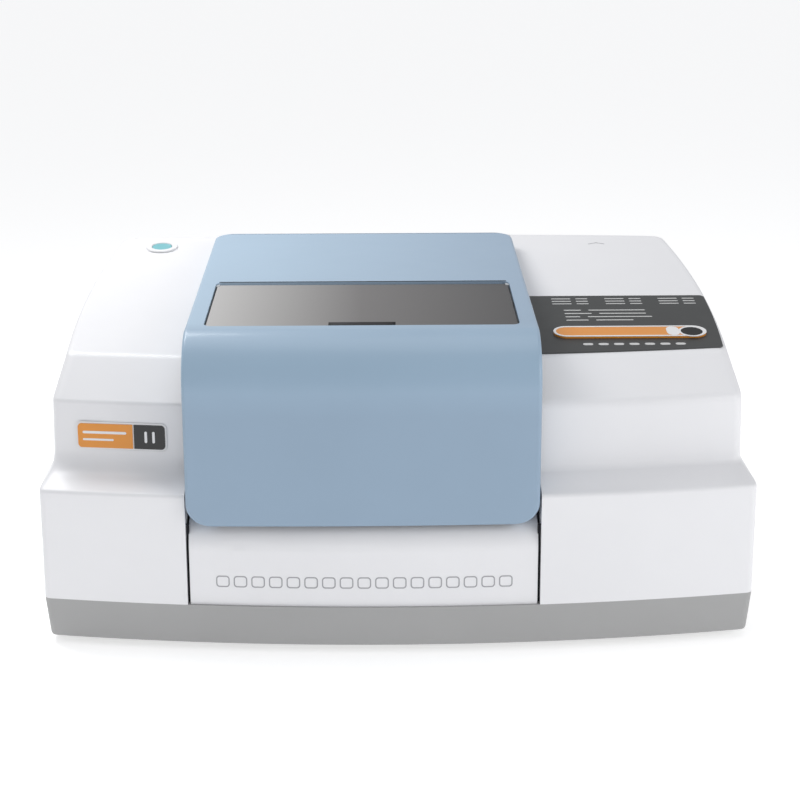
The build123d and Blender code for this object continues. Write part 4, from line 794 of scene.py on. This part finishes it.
def pill_outline():
    """White band round the observation pill, ring round its lens and white end beside the lens."""
    matrix = roof_frame((PILL_LEFT + PILL_RIGHT) / 2, PILL_Y)
    band = rounded_plate("pill_band", (120.6, 21.2), 10.5, 2.3, 2.65, matrix, BADGE_WHITE, 10)
    hole = rounded_plate("pill_tool", (116.6, 17.4), 8.6, -2, 6, matrix, BADGE_WHITE, 10)
    cut_with(band, hole)
    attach(band, "chassis")
    ring_matrix = roof_frame(LENS_X, LENS_Y)
    ring = rounded_plate("lens_surround", (20.4, 20.4), 10.1, 2.3, 2.75, ring_matrix, BADGE_WHITE, 12)
    ring_hole = rounded_plate("surround_tool", (17.2, 17.2), 8.55, -2, 6, ring_matrix, BADGE_WHITE, 12)
    cut_with(ring, ring_hole)
    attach(ring, "chassis")
    bar("pill_end", (10.0, 17.0), roof_frame(LENS_X - 14.6, PILL_Y), 2.3, 2.6, BADGE_WHITE)


def roof_chevron():
    """Small bent mark near the rear of the right roof."""
    for index, (x, turn) in enumerate(((178.2, 0.42), (184.6, -0.42))):
        matrix = roof_frame(x, 69.0) @ Matrix.Rotation(turn, 4, "Z")
        bar("roof_chevron_%d" % index, (9.0, 0.9), matrix, -0.1, 0.12, GROOVE)


def button_shadow_ring():
    """Painted shadow: a dark ring round the button's bezel, set a little to the front where the bezel's
    shade falls, with the button's own hole.
    """
    ring_matrix = roof_frame(BUTTON_X, BUTTON_Y - 0.8)
    button_painted_shadow = rounded_plate("button_painted_shadow", (27.0, 27.0), 13.4, -0.1, 0.1, ring_matrix, GAP, 12)
    hole_matrix = roof_frame(BUTTON_X, BUTTON_Y)
    hole = rounded_plate("button_shadow_tool", (24.2, 24.2), 12.05, -2, 2, hole_matrix, GAP, 12)
    cut_with(button_painted_shadow, hole)
    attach(button_painted_shadow, "chassis")


# Painted shadow: a dark bar on the cover along the rear edge of the window, where the gap's shade falls.
rear_shadow_y = WINDOW_Y + WINDOW_DEPTH / 2 + 0.9
bar("window_rear_shadow", (WINDOW_WIDTH - 4.0, 1.7), cover_frame(BAY_X, rear_shadow_y), -0.1, 0.12, GAP, "cover")
roof_chevron()
button_shadow_ring()
label_bars()
badge_bars()
panel_marks()
pill_outline()


# Painted shade: dark strips behind the gaps beside the front panel

def gap_shade_strip(name, x):
    """Dark strip of painted shade behind a gap of the front panel."""
    points = []
    y = FRONT + 5.0 + FRONT_BOW * (x / CORNER_HALF) ** 2
    for px in (x - 1.2, x + 1.2):
        for py in (y, y + 1.5):
            for pz in (PLINTH_TOP + 0.5, PLINTH_TOP + 62.0):
                points.append((px, py, pz))
    faces = [(0, 1, 3, 2), (4, 6, 7, 5), (0, 4, 5, 1), (2, 3, 7, 6), (0, 2, 6, 4), (1, 5, 7, 3)]
    obj = new_object(name, points, faces, GAP)
    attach(obj, "chassis")


gap_shade_strip("gap_shade_left", BAY_LEFT + PANEL_GAP)
gap_shade_strip("gap_shade_right", BAY_RIGHT - PANEL_GAP)


# Studio: flat pale floor, soft lights and the camera of the photograph

def studio_floor():
    """Wide pale floor, bright enough to read as a white studio sweep."""
    points = [(-30000, -6000, 0), (30000, -6000, 0), (30000, 60000, 0), (-30000, 60000, 0)]
    material = moulded("floor_pale", (0.90, 0.90, 0.90), 0.85, 60.0, 0.02, 0.0, 0.003)
    glow = material.node_tree.nodes["Principled BSDF"].inputs
    glow["Emission Color"].default_value = (1.0, 1.0, 1.0, 1)
    glow["Emission Strength"].default_value = 0.46
    new_object("studio_floor", points, [(0, 1, 2, 3)], material)


def area_light(name, place, target, size, power):
    """Square soft light that looks at a target."""
    data = bpy.data.lights.new(name, "AREA")
    data.energy = power
    data.size = size
    obj = bpy.data.objects.new(name, data)
    obj.location = place
    aim = Vector(target) - Vector(place)
    obj.rotation_euler = aim.to_track_quat("-Z", "Y").to_euler()
    bpy.context.scene.collection.objects.link(obj)


def camera_like_photo():
    """Camera at the photograph's own place, found from the instrument's edges."""
    pitch = math.radians(14.64)
    yaw = math.radians(-0.776)
    roll = math.radians(-0.172)
    level_forward = Vector((-math.sin(yaw), math.cos(yaw), 0)) * math.cos(pitch)
    forward = level_forward - Vector((0, 0, math.sin(pitch)))
    right = Vector((math.cos(yaw), math.sin(yaw), 0))
    up = right.cross(forward)
    turned_right = right * math.cos(roll) + up * math.sin(roll)
    turned_up = up * math.cos(roll) - right * math.sin(roll)
    data = bpy.data.cameras.new("photo_camera")
    data.sensor_width = 36.0
    data.lens = data.sensor_width * 1752.5 / 800
    data.clip_end = 100.0
    obj = bpy.data.objects.new("photo_camera", data)
    rotation = Matrix((turned_right, turned_up, -forward)).transposed()
    place = (-0.0161, -1.2293 + FRONT * MM, 0.5133 + GROUND * MM)
    obj.matrix_world = Matrix.Translation(place) @ rotation.to_4x4()
    bpy.context.scene.collection.objects.link(obj)
    bpy.context.scene.camera = obj


studio_floor()
camera_like_photo()
area_light("key", (-0.50, 0.20, 0.95), (-0.20, -0.02, 0.24), 0.5, 5.4)
area_light("fill", (1.5, -1.3, 0.8), (0.18, -0.1, 0.1), 0.9, 8)
area_light("top", (0.2, -0.2, 2.6), (0, 0, 0.2), 1.4, 6)
world = bpy.data.worlds.new("studio")
world.use_nodes = True
world.node_tree.nodes["Background"].inputs["Color"].default_value = (0.97, 0.98, 1.0, 1)
world.node_tree.nodes["Background"].inputs["Strength"].default_value = 0.53
bpy.context.scene.world = world
bpy.context.scene.view_settings.view_transform = "Standard"
